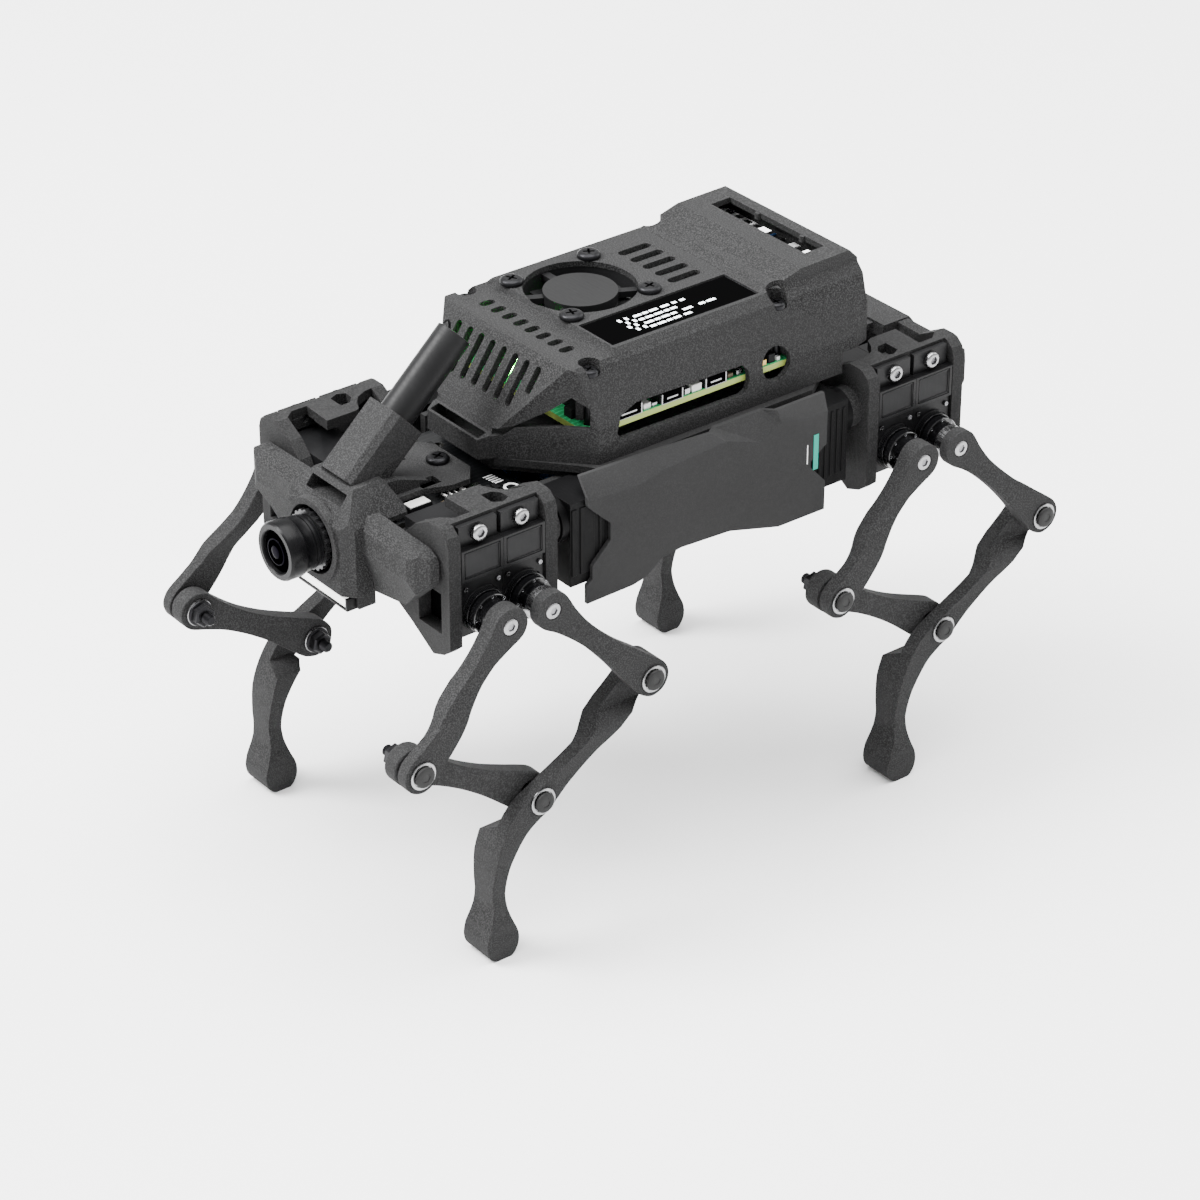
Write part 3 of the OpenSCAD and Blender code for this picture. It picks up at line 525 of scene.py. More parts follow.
def freeze(o):
    dg = bpy.context.evaluated_depsgraph_get()
    dg.update()
    me = bpy.data.meshes.new_from_object(o.evaluated_get(dg), depsgraph=dg)
    old = o.data
    o.modifiers.clear()
    o.data = me
    bpy.data.meshes.remove(old)


body_of_node = {n: b for b, ns in rec["behaviour"]["bodies"].items() for n in ns}


def cad(node, mats, pick=None, bevel=0.35, seg=3, name=None, keep=None, angle=32, crisp=False):
    """A finished copy of a CAD node: flat faces merged, edges rounded, one material per region."""
    src = frame["nodes"][node]
    bm = bmesh.new()
    bm.from_mesh(src.data)
    for l in list(bm.loops.layers.uv):
        bm.loops.layers.uv.remove(l)
    bmesh.ops.remove_doubles(bm, verts=bm.verts[:], dist=2e-6)
    if keep is not None:
        # keep only whole islands that the test accepts
        seen = set()
        drop = []
        for v in bm.verts[:]:
            if v in seen:
                continue
            stack, isl = [v], []
            seen.add(v)
            while stack:
                w = stack.pop()
                isl.append(w)
                for e in w.link_edges:
                    x = e.other_vert(w)
                    if x not in seen:
                        seen.add(x)
                        stack.append(x)
            c = sum((w.co for w in isl), Vector()) / len(isl) / MM
            if not keep(c):
                drop += isl
        bmesh.ops.delete(bm, geom=drop, context="VERTS")
    for f in bm.faces:
        f.material_index = 0
    if pick:
        for f in bm.faces:
            f.normal_update()
            f.material_index = pick(f.calc_center_median() / MM, f.normal)
    bmesh.ops.dissolve_limit(bm, angle_limit=rad(0.4), verts=bm.verts[:], edges=bm.edges[:], delimit={"MATERIAL"})
    for e in bm.edges:
        e.smooth = True
        if len(e.link_faces) == 2:
            fa, fb = e.link_faces
            t = math.degrees(e.calc_face_angle(0.0))
            big = max(fa.calc_area(), fb.calc_area()) > 14 * MM * MM
            if (bevel <= 0 and t > 50) or (big and crisp and 1.2 < t <= angle):
                e.smooth = False
    me = bpy.data.meshes.new(name or node + "_look")
    bm.to_mesh(me)
    bm.free()
    if "custom_normal" in me.attributes:
        me.attributes.remove(me.attributes["custom_normal"])
    for mt in mats if isinstance(mats, (list, tuple)) else [mats]:
        me.materials.append(mt)
    o = bpy.data.objects.new(name or node + "_look", me)
    bpy.context.scene.collection.objects.link(o)
    me.polygons.foreach_set("use_smooth", [True] * len(me.polygons))
    if bevel > 0:
        md = o.modifiers.new("edge", "BEVEL")
        md.width = bevel * MM
        md.segments = seg
        md.limit_method = "ANGLE"
        md.angle_limit = rad(angle)
        md.use_clamp_overlap = True
        md.harden_normals = False
        md.miter_outer = "MITER_ARC"
        wn = o.modifiers.new("wn", "WEIGHTED_NORMAL")
        wn.weight = 80
        wn.keep_sharp = True
        freeze(o)
    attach(o, body_of_node[node])
    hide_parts(node)
    return o


def mesh_material(node, mat):
    o = frame["nodes"][node]
    o.data.materials.clear()
    o.data.materials.append(mat)


# ------------------------------------------------------------------ world, floor and lights
world = bpy.data.worlds.new("studio")
bpy.context.scene.world = world
world.use_nodes = True
world.node_tree.nodes["Background"].inputs["Color"].default_value = (1, 1, 1, 1)
world.node_tree.nodes["Background"].inputs["Strength"].default_value = 1.15

fm = bmesh.new()
bmesh.ops.create_grid(fm, x_segments=1, y_segments=1, size=6)
fme = bpy.data.meshes.new("floor")
fm.to_mesh(fme)
fm.free()
floor = bpy.data.objects.new("floor", fme)
bpy.context.scene.collection.objects.link(floor)
fn = Nodes("studio_floor", (0.9, 0.9, 0.9), 0.9, spec=0.1)
fn.color(fn.mix(fn.range(fn.noise(3, 2), 0.3, 0.7, 0, 1), (0.9, 0.9, 0.9), (0.91, 0.91, 0.91)))
fme.materials.append(fn.mat)


def area(name, loc, target, size, power):
    d = bpy.data.lights.new(name, "AREA")
    d.shape = "SQUARE"
    d.size = size
    d.energy = power
    o = bpy.data.objects.new(name, d)
    bpy.context.scene.collection.objects.link(o)
    o.location = loc
    o.rotation_euler = (Vector(target) - Vector(loc)).to_track_quat("-Z", "Y").to_euler()
    return o


area("key", (-0.62, -0.82, 1.15), (0, 0, 0.08), 0.7, 58)
area("top", (0.0, 0.0, 1.9), (0, 0, 0.05), 2.0, 130)
area("back", (0.3, 1.5, 1.0), (0, 0, 0.1), 1.2, 22)

# ------------------------------------------------------------------ pivots, same numbers as the CAD
SH = 90.4
pA, pB = (0.0, SH), (12.2, SH)
pK = (40 * math.cos(rad(-133.7)), SH + 40 * math.sin(rad(-133.7)))
pE = (12.2 + 40 * math.cos(rad(-44.9)), SH + 40 * math.sin(rad(-44.9)))
_ke = (pE[0] - pK[0], pE[1] - pK[1])
_d = math.hypot(*_ke)
_t = _d / 2
_h = math.sqrt(1600 - _t * _t)
pS = (pK[0] + _t * _ke[0] / _d + _h * _ke[1] / _d, pK[1] + _t * _ke[1] / _d - _h * _ke[0] / _d)


def bolt(pc, y0, p, x_head, x_in, gap0, gap1):
    m = basis((0, y0 + p[0], p[1]), (1, 0, 0))
    hm = basis((x_head, y0 + p[0], p[1]), (1, 0, 0))
    pc.head(hm, 2.65, 0.9, BOLT, sr=1.2, depth=0.14, dome=0.3, n=40)
    # threaded end, plain shank inside the links
    prof = [(0.0, 37.0), (1.05, 37.0), (1.3, 37.25)]
    h = 37.3
    while h < x_in - 3.7:
        prof += [(1.44, h + 0.12), (1.22, h + 0.34)]
        h += 0.45
    prof += [(1.43, x_in - 3.5), (1.43, x_head + 0.1)]
    pc.lathe(prof, DARKSTEEL, m, 28)
    # silver ring washer
    pc.lathe([(1.55, x_in - 0.7), (3.4, x_in - 0.7), (3.55, x_in - 0.58), (3.55, x_in - 0.2), (3.4, x_in - 0.06), (1.55, x_in - 0.06)], STEEL, m, 44, closed=True)
    # flanged lock nut
    pc.lathe([(1.55, x_in - 1.3), (2.9, x_in - 1.3), (3.3, x_in - 1.12), (3.4, x_in - 0.95), (3.4, x_in - 0.78), (1.55, x_in - 0.76)], DARKSTEEL, m, 40, closed=True)
    pc.lathe([(1.5, x_in - 1.2), (2.95, x_in - 1.2), (2.95, x_in - 3.1), (2.55, x_in - 3.45), (1.9, x_in - 3.5), (1.75, x_in - 3.3), (1.5, x_in - 3.3)], DARKSTEEL, m, 6, closed=True, a0=0.3)
    if gap1 > gap0:
        pc.lathe([(1.55, gap0 + 0.02), (3.28, gap0 + 0.02), (3.4, gap0 + 0.12), (3.4, gap1 - 0.12), (3.28, gap1 - 0.02), (1.55, gap1 - 0.02)], STEEL, m, 40, closed=True)


def bearing(pc, y0, p, xf):
    m = basis((0, y0 + p[0], p[1]), (1, 0, 0))
    pc.lathe([(1.52, xf - 2.48), (2.98, xf - 2.48), (2.98, xf), (3.42, xf), (3.55, xf + 0.12), (3.55, xf + 0.42), (3.4, xf + 0.55), (2.86, xf + 0.55), (2.78, xf + 0.42), (2.78, xf + 0.12), (1.52, xf + 0.12)], STEEL, m, 48, closed=True)


def hub(pc, y0, y, x1, xs, spacer):
    m = basis((0, y0 + y, SH), (1, 0, 0))
    # socketed horn disc with its pitch holes and a raised web
    pc.lathe([(2.3, 40.4), (5.15, 40.4), (5.3, 40.55), (5.3, 42.2), (5.1, 42.4), (4.3, 42.4)], HORN, m, 48)
    end = 44.5 if spacer else x1
    pc.lathe([(4.3, 42.4), (4.3, end - 0.15), (4.15, end), (1.15, end), (1.15, 41.3), (2.3, 41.3), (2.3, 40.4)], HORN, m, 48)
    for k in range(8):
        a = rad(45 * k)
        mm = basis((42.42, y0 + y + 4.78 * math.cos(a), SH + 4.78 * math.sin(a)), (1, 0, 0))
        pc.lathe([(0.42, -0.02), (0.42, 0.05), (0.3, 0.06), (0.26, -0.02)], STEEL_DULL, mm, 14)
    if spacer:
        pc.lathe([(1.2, 44.55), (4.35, 44.55), (4.5, 44.7), (4.5, 46.8), (4.35, 46.94), (1.2, 46.94)], STEEL, m, 48, closed=True)
    hm = basis((xs - 0.42, y0 + y, SH), (1, 0, 0))
    pc.head(hm, 2.08, 0.42, STEEL, sr=1.1, depth=0.34, dome=0.22, n=36, under=1.0, sock_mat=STEEL_DULL)
    pc.lathe([(0, 42.05), (0.98, 42.05), (0.98, xs - 1.3)], STEEL_DULL, m, 20)


for end in ("front", "rear"):
    y0 = YO + (-70.6 if end == "front" else 58.4)
    for side in ("left", "right"):
        p = end + "_" + side
        fx = side == "right"
        # printed links
        cad(p + "_hip_bracket", P_BR, bevel=0.5, angle=9.5, crisp=True)
        cad(p + "_thigh", P_LEG, bevel=0.7)
        cad(p + "_rear_link", P_LEG, bevel=0.7)
        cad(p + "_knee_link", P_LEG, bevel=0.7)
        cad(p + "_shin", P_LEG, bevel=0.8)
        # servos: cases from the CAD, screws and marks added

        def servo_pick(c, n):
            x = abs(c.x)
            if abs(n.x) > 0.9 and 38.5 < x < 38.65 and c.z > 100:
                return 1
            if x > 38.95:
                return 2
            return 0
        cad(p + "_leg_servos", [SERVO, SERVO_LABEL, HORN], servo_pick, bevel=0.28, keep=lambda c: c.z < 109)
        s = Piece()
        for y in (0.0, 12.2):
            yy = y0 + y
            hm = basis((37.02, yy, 110.46), (1, 0, 0))
            s.head(hm, 2.1, 1.45, STEEL, sr=1.15, depth=0.75, dome=0.5, n=36, sock_mat=STEEL_DULL)
            s.lathe([(0, 34.0), (0.98, 34.0), (0.98, 37.05)], STEEL_DULL, basis((0, yy, 110.46), (1, 0, 0)), 18)
            # raised frame round the label field
            a, b, z0, z1 = yy - 5.0, yy + 5.0, 100.2, 106.8
            for q in (((38.55, a, z0), (38.82, b, z0 + 0.22)), ((38.55, a, z1 - 0.22), (38.82, b, z1)),
                      ((38.55, a, z0), (38.82, a + 0.2, z1)), ((38.55, b - 0.2, z0), (38.82, b, z1))):
                s.box(q[0], q[1], SERVO)
            # moulded arcs round the output shaft and two small round studs above it
            for r, a0, a1 in ((5.95, 60, 165), (5.95, -35, 40), (5.95, 195, 320)):
                n = 16
                outer = [(r * math.cos(rad(a0 + (a1 - a0) * k / n)), r * math.sin(rad(a0 + (a1 - a0) * k / n))) for k in range(n + 1)]
                inner = [((r - 0.3) * math.cos(rad(a1 - (a1 - a0) * k / n)), (r - 0.3) * math.sin(rad(a1 - (a1 - a0) * k / n))) for k in range(n + 1)]
                s.prism([q for q in outer + inner], [], 38.15, 38.7, SERVO, basis((0, yy, SH), (1, 0, 0)))
            for k in range(2):
                s.lathe([(0.0, 38.2), (0.62, 38.2), (0.62, 38.75), (0.5, 38.85), (0.3, 38.85), (0.25, 38.7), (0, 38.7)], STEEL_DULL if k else HORN, basis((0, yy + (-4.7, 4.7)[k], SH + 6.6), (1, 0, 0)), 18)
            # seams of the case halves and bottom cover
            for z in (99.35, 86.2):
                s.box((16.9, yy - 6.0, z), (38.3, yy - 5.98, z + 0.25), BLACKP)
                s.box((16.9, yy + 5.98, z), (38.3, yy + 6.0, z + 0.25), BLACKP)
        # black servo face behind the bracket's side window: a no-sheen black plate on the closed pocket floor, darker
        # than the servo case, painted shade inside the window
        yw = y0 - 6.28 if end == "front" else y0 + 18.32
        s.box((26.8, yw, 85.8), (35.4, yw + 0.16, 96.2), SCREEN_BLACK_AND_SHADE)
        s.make(p + "_servo_trim", p + "_hip", "servo", bevel=0.05, seg=2, mirror_x=fx)
        # horns, bearings and bolts
        th = Piece()
        hub(th, y0, 0.0, 44.93, 49.75, False)
        bearing(th, y0, pK, 51.6)
        th.make(p + "_thigh_horn", p + "_thigh_arm", "steel", (p + "_thigh_hub",), mirror_x=fx)
        rh = Piece()
        hub(rh, y0, 12.2, 44.5, 50.05, True)
        bearing(rh, y0, pE, 52.0)
        rh.make(p + "_rear_horn", p + "_rear_arm", "steel", (p + "_rear_hub",), mirror_x=fx)
        for nm, bd, q, xh, xi, g0, g1 in (("knee_bolt", "knee_pin", pK, 52.2, 42.9, 47.55, 48.25), ("elbow_bolt", "elbow_pin", pE, 52.6, 43.5, 47.55, 48.35), ("shin_bolt", "lower_leg", pS, 52.9, 42.9, 0, 0)):
            b = Piece()
            bolt(b, y0, q, xh, xi, g0, g1)
            if nm == "shin_bolt":
                bearing(b, y0, pS, 52.3)
            b.make(p + "_" + nm + "_turned", p + "_" + bd, "dark_steel", (p + "_" + nm,), mirror_x=fx)

# ------------------------------------------------------------------ body shells
cad("chassis_frame", P_DARK, bevel=0.35, angle=9.5, crisp=True)
cad("head_shell", P, bevel=0.4, angle=9.5, crisp=True)
cad("tail_frame", P, bevel=0.4, angle=9.5, crisp=True)
cad("top_case", P_TOP, bevel=0.3, angle=9.5, crisp=True)
cad("neck_tube", RUBBER, bevel=0.2, seg=2)
cad("light_bar", LIGHT, bevel=0.3)
bz = Piece()
bz.box((-10.2, -89.7 + YO, 83.0), (10.2, -86.2 + YO, 83.62), BLACKP)
for x in (-10.2, 9.4):
    bz.box((x, -89.7 + YO, 83.3), (x + 0.8, -86.4 + YO, 86.4), BLACKP)
bz.make("light_bezel", "body", "lens", bevel=0.15, seg=2)

# faceted armour panels: a folded skin over the CAD outline
EDGE = [(-39.5, 80), (-25.5, 80.2), (-21.5, 81), (-16.4, 84.6), (-10.5, 85.4), (4.6, 84.6), (20.5, 80.3), (35.5, 80.2), (35.5, 88.2), (30.6, 93.6), (30.6, 95.2), (35.6, 98.6), (35.7, 107.8), (35.9, 112.2), (20.6, 112.2), (18.0, 112.2), (3.0, 112.2), (0.4, 112.2), (-19.0, 112.2), (-37.8, 112.2), (-39.3, 109.0), (-39.3, 106.6), (-37.4, 104.6), (-32.4, 99.9), (-32.4, 95.2), (-37.9, 89.9), (-37.9, 86.4), (-39.5, 85.2)]
EDGE_X = {13: 36.6, 14: 36.7, 15: 34.3, 16: 34.2, 17: 36.0, 18: 34.2, 19: 33.4}
INNER = [(-38.6, 107.6, 38.3), (-24.0, 107.2, 38.5), (-14.5, 108.9, 38.3), (3.6, 109.6, 37.8), (13.6, 106.4, 38.8), (21.0, 109.2, 38.3), (28.5, 107.9, 38.6), (-12.0, 97.0, 38.75), (12.0, 96.0, 38.65), (20.5, 88.5, 38.4), (-20.0, 89.5, 38.5), (30.0, 101.0, 38.35)]
RIDGES = [((-24.0, 107.2), (-14.5, 108.9)), ((-14.5, 108.9), (3.6, 109.6)), ((3.6, 109.6), (13.6, 106.4)), ((13.6, 106.4), (21.0, 109.2)), ((21.0, 109.2), (28.5, 107.9)), ((-38.6, 107.6), (-24.0, 107.2)), ((28.5, 107.9), (35.7, 107.8)), ((3.6, 109.6), (3.0, 112.2)), ((21.0, 109.2), (18.0, 112.2)), ((13.6, 106.4), (18.0, 112.2)), ((13.6, 106.4), (3.0, 112.2)), ((-24.0, 107.2), (-19.0, 112.2))]
from mathutils.geometry import delaunay_2d_cdt
v2 = [Vector(q) for q in EDGE] + [Vector(q[:2]) for q in INNER]
idx = {(round(q.x, 2), round(q.y, 2)): i for i, q in enumerate(v2)}
eds = [(idx[tuple(round(c, 2) for c in a)], idx[tuple(round(c, 2) for c in b)]) for a, b in RIDGES]
ov, oe, of_, ovo, _, _ = delaunay_2d_cdt(v2, eds, [list(range(len(EDGE)))], 1, 1e-5)
xs = []
for i, o in enumerate(ovo):
    k = o[0]
    xs.append(INNER[k - len(EDGE)][2] if k >= len(EDGE) else EDGE_X.get(k, 38.4))
for sgn, nm in ((1, "left"), (-1, "right")):
    a = Piece()
    n = len(ov)
    front = [(xs[i], ov[i].y if False else ov[i].x + YO, ov[i].y) for i in range(n)]
    backv = [(xs[i] - 1.1, ov[i].x + YO, ov[i].y) for i in range(n)]
    faces = [list(f) for f in of_] + [[k + n for k in f][::-1] for f in of_]
    used = {}
    for f in of_:
        for i in range(len(f)):
            e = (f[i], f[(i + 1) % len(f)])
            used[tuple(sorted(e))] = used.get(tuple(sorted(e)), 0) + 1
    for e, c in used.items():
        if c == 1:
            faces.append([e[0], e[1], e[1] + n, e[0] + n])
    made = a.part(front + backv, faces, P_ARM)
    for g in made:
        g.smooth = False
    for y in (-12, 12):
        a.lathe([(2.4, 23.8), (2.4, 37.3)], P_ARM, basis((0, y + YO, 96), (1, 0, 0)), 24)
    # printed marks: a teal bar and a fine white line
    a.box((38.3, 31.3 + YO, 92.6), (38.52, 32.9 + YO, 102.4), TEAL_INK)
    a.box((38.3, 29.2 + YO, 95.0), (38.52, 29.5 + YO, 100.3), WHITE_PRINT_AND_HIGHLIGHT)
    o = a.make("armor_" + nm, "body", "printed", ("side_armor",), bevel=0.22, seg=2, sharp=20, mirror_x=sgn < 0)

# hip servos with their ribbed cheeks
# the hip servo cases and their ribs use the darker servo black, which is painted shade
cad("hip_servos", SERVO_H_SHADED, bevel=0.35)
for sgn, nm in ((1, "left"), (-1, "right")):
    h = Piece()
    for e in (1, -1):
        ya, yb = (18.5, 43.5) if e > 0 else (-43.5, -18.5)
        for y0_, y1_ in ([(18.9 + 1.9 * k, 19.8 + 1.9 * k) for k in range(13)] if e > 0 else [(-43.1, -41.6), (-40.6, -36.4), (-34.9, -34.2), (-33.0, -26.0), (-24.5, -19.5)]):
            h.box((37.0, y0_ + YO, 88.2), (37.32, y1_ + YO, 106.2), SERVO_H_SHADED)
        h.lathe([(4.2, 0), (4.2, 1.0), (3.9, 1.25), (2.2, 1.3), (2.1, 1.6), (0, 1.6)], STEEL_DULL, basis((31, YO + e * 45.5, 102), (0, e, 0)), 36)
    h.make("hip_servo_ribs_" + nm, "body", "servo", bevel=0.08, seg=1, mirror_x=sgn < 0)

cad("battery_pack", CELL, bevel=0.5)
bt = Piece()
for x in (-9.4, 9.4):
    for e in (1, -1):
        bt.lathe([(9.25, 0), (9.3, 0.6), (8.6, 0.9), (7.4, 0.9), (7.2, 0.4), (0, 0.4)], CELL, basis((x, YO + e * 32.4, 95.6), (0, e, 0)), 48)
        bt.lathe([(6.0, 0.35), (5.8, 0.75), (0, 0.8)], STEEL_DULL, basis((x, YO + e * 32.4, 95.6), (0, e, 0)), 36)
bt.make("battery_ends", "body", "battery")

# ------------------------------------------------------------------ lens
lm = basis((0, YO, 99.4), (0, -1, 0))
c = Piece()
c.lathe([(0, 83.6), (6, 83.6), (6, 93.0), (6.5, 93.1), (6.5, 93.9), (6.75, 94.2), (6.75, 94.9), (6.55, 95.0), (6.55, 95.3), (6.9, 95.4), (6.9, 97.2), (7.35, 98.0), (7.4, 98.2), (7.4, 101.7), (7.25, 102.2), (6.9, 102.6), (5.75, 102.6), (5.5, 102.35), (5.35, 101.7), (5.2, 101.2), (4.6, 101.0), (4.5, 100.7), (4.3, 100.7)], moulded("barrel_black", (0.008, 0.008, 0.009), 0.3, 500, 0.2, spec=0.1), lm, 96)
for k in range(3):
    c.lathe([(4.5 - 0.5 * k, 100.9 - 0.1 * k), (4.4 - 0.5 * k, 101.05 - 0.1 * k), (4.0 - 0.5 * k, 101.0 - 0.1 * k)], STEEL_DULL if k == 0 else BLACKP, lm, 64)
c.lathe([(5.25, 101.5), (4.9, 101.8), (4.2, 102.1), (3.2, 102.35), (1.8, 102.5), (0, 102.55)], SCREEN_BLACK_AND_SHADE, lm, 72)
# small cap and thin ring with a purple tint on the black dome: painted glint
c.lathe([(1.7, 102.46), (1.5, 102.56), (0.8, 102.62), (0, 102.64)], LENS_GLINT, lm, 48)
c.lathe([(3.5, 102.22), (3.4, 102.36), (3.15, 102.4), (3.0, 102.3)], LENS_GLINT, lm, 64)
teeth = []
for k in range(88):
    a = 2 * math.pi * k / 88
    r = 7.68 if k % 4 < 2 else 7.25
    teeth.append((r * math.cos(a), r * math.sin(a)))
c.prism(teeth, [[(6.2 * math.cos(2 * math.pi * k / 44), 6.2 * math.sin(2 * math.pi * k / 44)) for k in range(44)]], 91.75, 92.95, RING, lm)
c.box((-7, -83.5 + YO, 92.4), (7, -82.5 + YO, 104.6), PCB_K)
c.make("camera_lens", "body", "lens", ("camera_module",), sharp=30)

# wire hook at the upper end of the neck tube
ca, sa = math.cos(rad(42.6)), math.sin(rad(42.6))


def on_tube(s_, up, side=0.0):
    return (side, -66.8 + YO + s_ * ca - up * sa, 124.2 + s_ * sa + up * ca)


w = Piece()
w.tube([on_tube(19, 1.2, 0.6), on_tube(22, 1.8, 0.5), on_tube(24.1, 2.7, 0.3), on_tube(25.0, 3.4, 0.1), on_tube(25.3, 4.1, -0.1), on_tube(24.8, 4.6, -0.3), on_tube(24.1, 4.55, -0.4)], 0.34, BLACKP, 12)
w.make("tube_wire_hook", "body", "tube")

# ------------------------------------------------------------------ fan
FX, FY = -6.8, -6.2 + YO


def fan_pick(c_, n_):
    return 1 if c_.z > 136.1 and n_.z > 0.9 else 0


cad("fan_frame", [FANP, FAN_HUB], fan_pick, bevel=0.25)
r = Piece()
fmx = Matrix.Translation((FX, FY, 0))
r.lathe([(0, 128.6), (8.7, 128.6), (9.3, 129.2), (9.3, 133.2), (9.1, 133.3), (8.1, 133.3), (8.1, 129.9), (0, 129.9)], FANP, fmx, 72)
r.lathe([(0.93, 129.8), (0.93, 135.1), (0, 135.2)], STEEL, fmx, 24)
for k in range(7):
    vs, fs = [], []
    nu, nv = 7, 7
    for lay in (0, 1):
        for u in range(nu):
            rr = 9.0 + (13.6 - 9.0) * u / (nu - 1)
            for q in range(nv):
                t = q / (nv - 1) - 0.5
                wd = (0.62 + 0.1 * u / (nu - 1))
                ang = k * 2 * math.pi / 7 + t * wd - 0.05 * u
                zz = 131.1 + t * (3.7 - 0.12 * u) + 0.55 * (0.25 - t * t) * 2 + (0.3 if lay else -0.3)
                vs.append((rr * math.cos(ang), rr * math.sin(ang), zz))
    N = nu * nv
    for u in range(nu - 1):
        for q in range(nv - 1):
            a0 = u * nv + q
            fs.append([a0, a0 + 1, a0 + nv + 1, a0 + nv])
            fs.append([N + a0, N + a0 + nv, N + a0 + nv + 1, N + a0 + 1])
    rim = [u * nv for u in range(nu)] + [(nu - 1) * nv + q for q in range(1, nv)] + [u * nv + nv - 1 for u in range(nu - 2, -1, -1)] + [q for q in range(nv - 2, 0, -1)]
    for i in range(len(rim)):
        a0, b0 = rim[i], rim[(i + 1) % len(rim)]
        fs.append([a0, b0, b0 + N, a0 + N])
    r.part(vs, fs, FANP, fmx)
r.make("fan_blades", "fan", "servo", ("fan_rotor",), sharp=40)

# ------------------------------------------------------------------ screws of the case and the decks
sc = Piece()
for x in (-12, 12):
    for y in (-12, 12):
        m = Matrix.Translation((FX + x, FY + y, 137.02)) @ Matrix.Rotation(rad(20 + 17 * x + 5 * y), 4, "Z")
        sc.head(m, 3.0, 1.45, DARKSTEEL, sock="cross", sr=1.5, depth=0.8, dome=1.0, n=44)
        sc.lathe([(0, -8), (1.2, -8), (1.2, 0)], DARKSTEEL, m, 18)
for x in (-24.5, 24.5):
    for y in (-28, 30):
        m = Matrix.Translation((x, y + YO, 132.65)) @ Matrix.Rotation(rad(31 + x + y), 4, "Z")
        sc.head(m, 2.3, 1.45, DARKSTEEL, sock="cross", sr=1.2, depth=0.7, dome=0.6, n=36)
        sc.lathe([(0, -22), (1.2, -22), (1.2, 0)], DARKSTEEL, m, 18)
for y in (-55, 55):
    m = Matrix.Translation((0, y + YO, 108.02)) @ Matrix.Rotation(rad(25), 4, "Z")
    sc.head(m, 2.9, 1.35, DARKSTEEL, sock="cross", sr=1.5, depth=0.8, dome=0.9, n=44)
    sc.lathe([(0, -6.8), (1.0, -6.8), (1.0, 0)], DARKSTEEL, m, 18)
sc.make("screw_heads", "body", "dark_steel", ("case_screws",), sharp=30)

# ------------------------------------------------------------------ display: dark glass with plain dashes
cad("display_panel", SCREEN_BLACK_AND_SHADE, bevel=0.15, seg=2)
dp = Piece()
rows = [(20.2, ((-5.8, 1.7), (-3.6, 2.4), (-0.7, 1.5), (1.3, 2.2), (4.6, 2.2))),
        (18.0, ((-5.8, 2.6), (-2.7, 1.6), (-0.6, 2.3), (2.2, 1.7), (6.0, 2.8), (11.0, 1.8), (13.4, 2.6))),
        (15.8, ((-5.8, 1.5), (-3.8, 2.2), (-1.1, 2.6), (2.0, 1.4), (3.9, 1.8))),
        (13.6, ((-5.8, 2.3), (-3.0, 1.5), (-1.0, 2.5), (2.6, 2.4), (6.1, 1.3), (8.5, 1.4)))]
for x, cells in rows:
    for y, ln in cells:
        dp.box((x - 0.5, y + YO, 136.58), (x + 0.4, y + ln + YO, 136.64), GLOW)
for i in range(4):
    for j in range(4):
        if (i + j) % 2 == 0:
            dp.box((12.7 + i * 2.0, -10.4 + j * 1.05 + YO, 136.58), (14.0 + i * 2.0, -9.6 + j * 1.05 + YO, 136.64), GLOW)
dp.make("display_dashes", "body", "screen")

# ------------------------------------------------------------------ computer board


def board_pick(c_, n_):
    y = c_.y - YO
    if c_.z < 119.52:
        return 0
    if y > 34:
        return 1
    if c_.x > 21 or c_.x < -20:
        return 2
    return 3


cad("computer_board", [PCB_G, STEEL, BLACKP, CHIP], board_pick, bevel=0.2, seg=2)
cb = Piece()


def blk(x0, y0_, z0, x1, y1_, z1, mat):
    cb.box((x0, y0_ + YO, z0), (x1, y1_ + YO, z1), mat)


# port fronts on the near side: light shells whose mouths are filled with no-sheen black, painted shade of the deep
# openings
for ya, yb, light in ((-22.6, -14.6, STEEL), (-8.6, -2.0, STEEL), (5.0, 11.6, STEEL)):
    blk(21.8, ya + 0.3, 122.25, 27.3, yb - 0.3, 122.5, light)
    blk(26.8, ya + 0.35, 119.6, 28.1, yb - 0.35, 122.2, SCREEN_BLACK_AND_SHADE)
    blk(27.0, ya + 1.6, 120.5, 28.14, yb - 1.6, 121.0, light)
    blk(25.0, ya + 0.6, 122.2, 28.0, yb - 0.6, 122.5, SCREEN_BLACK_AND_SHADE)
    blk(27.4, ya, 119.45, 28.16, ya + 0.35, 122.3, light)
    blk(27.4, yb - 0.35, 119.45, 28.16, yb, 122.3, light)
    blk(27.5, ya + 0.2, 119.45, 28.16, yb - 0.2, 119.65, light)
# small parts between the ports
for y, ln, x, wd, hz, mat in ((-13.6, 2.2, 25.2, 2.2, 1.5, WHITEP), (-11.0, 1.5, 25.8, 1.6, 1.0, STEEL), (-26.0, 1.8, 24.6, 2.2, 1.2, CERAMIC), (-1.0, 1.6, 25.6, 2.0, 1.6, STEEL), (1.2, 3.0, 25.0, 2.6, 1.9, WHITEP), (12.8, 1.6, 25.8, 1.4, 1.1, CERAMIC), (15.4, 2.0, 25.2, 2.2, 1.4, STEEL), (22.5, 2.2, 25.4, 2.2, 1.6, GOLD), (25.6, 2.0, 24.8, 2.6, 2.4, CHIP), (28.2, 1.0, 26.4, 1.0, 1.0, WHITEP)):
    blk(x, y, 119.5, x + wd, y + ln, 119.5 + hz, mat)
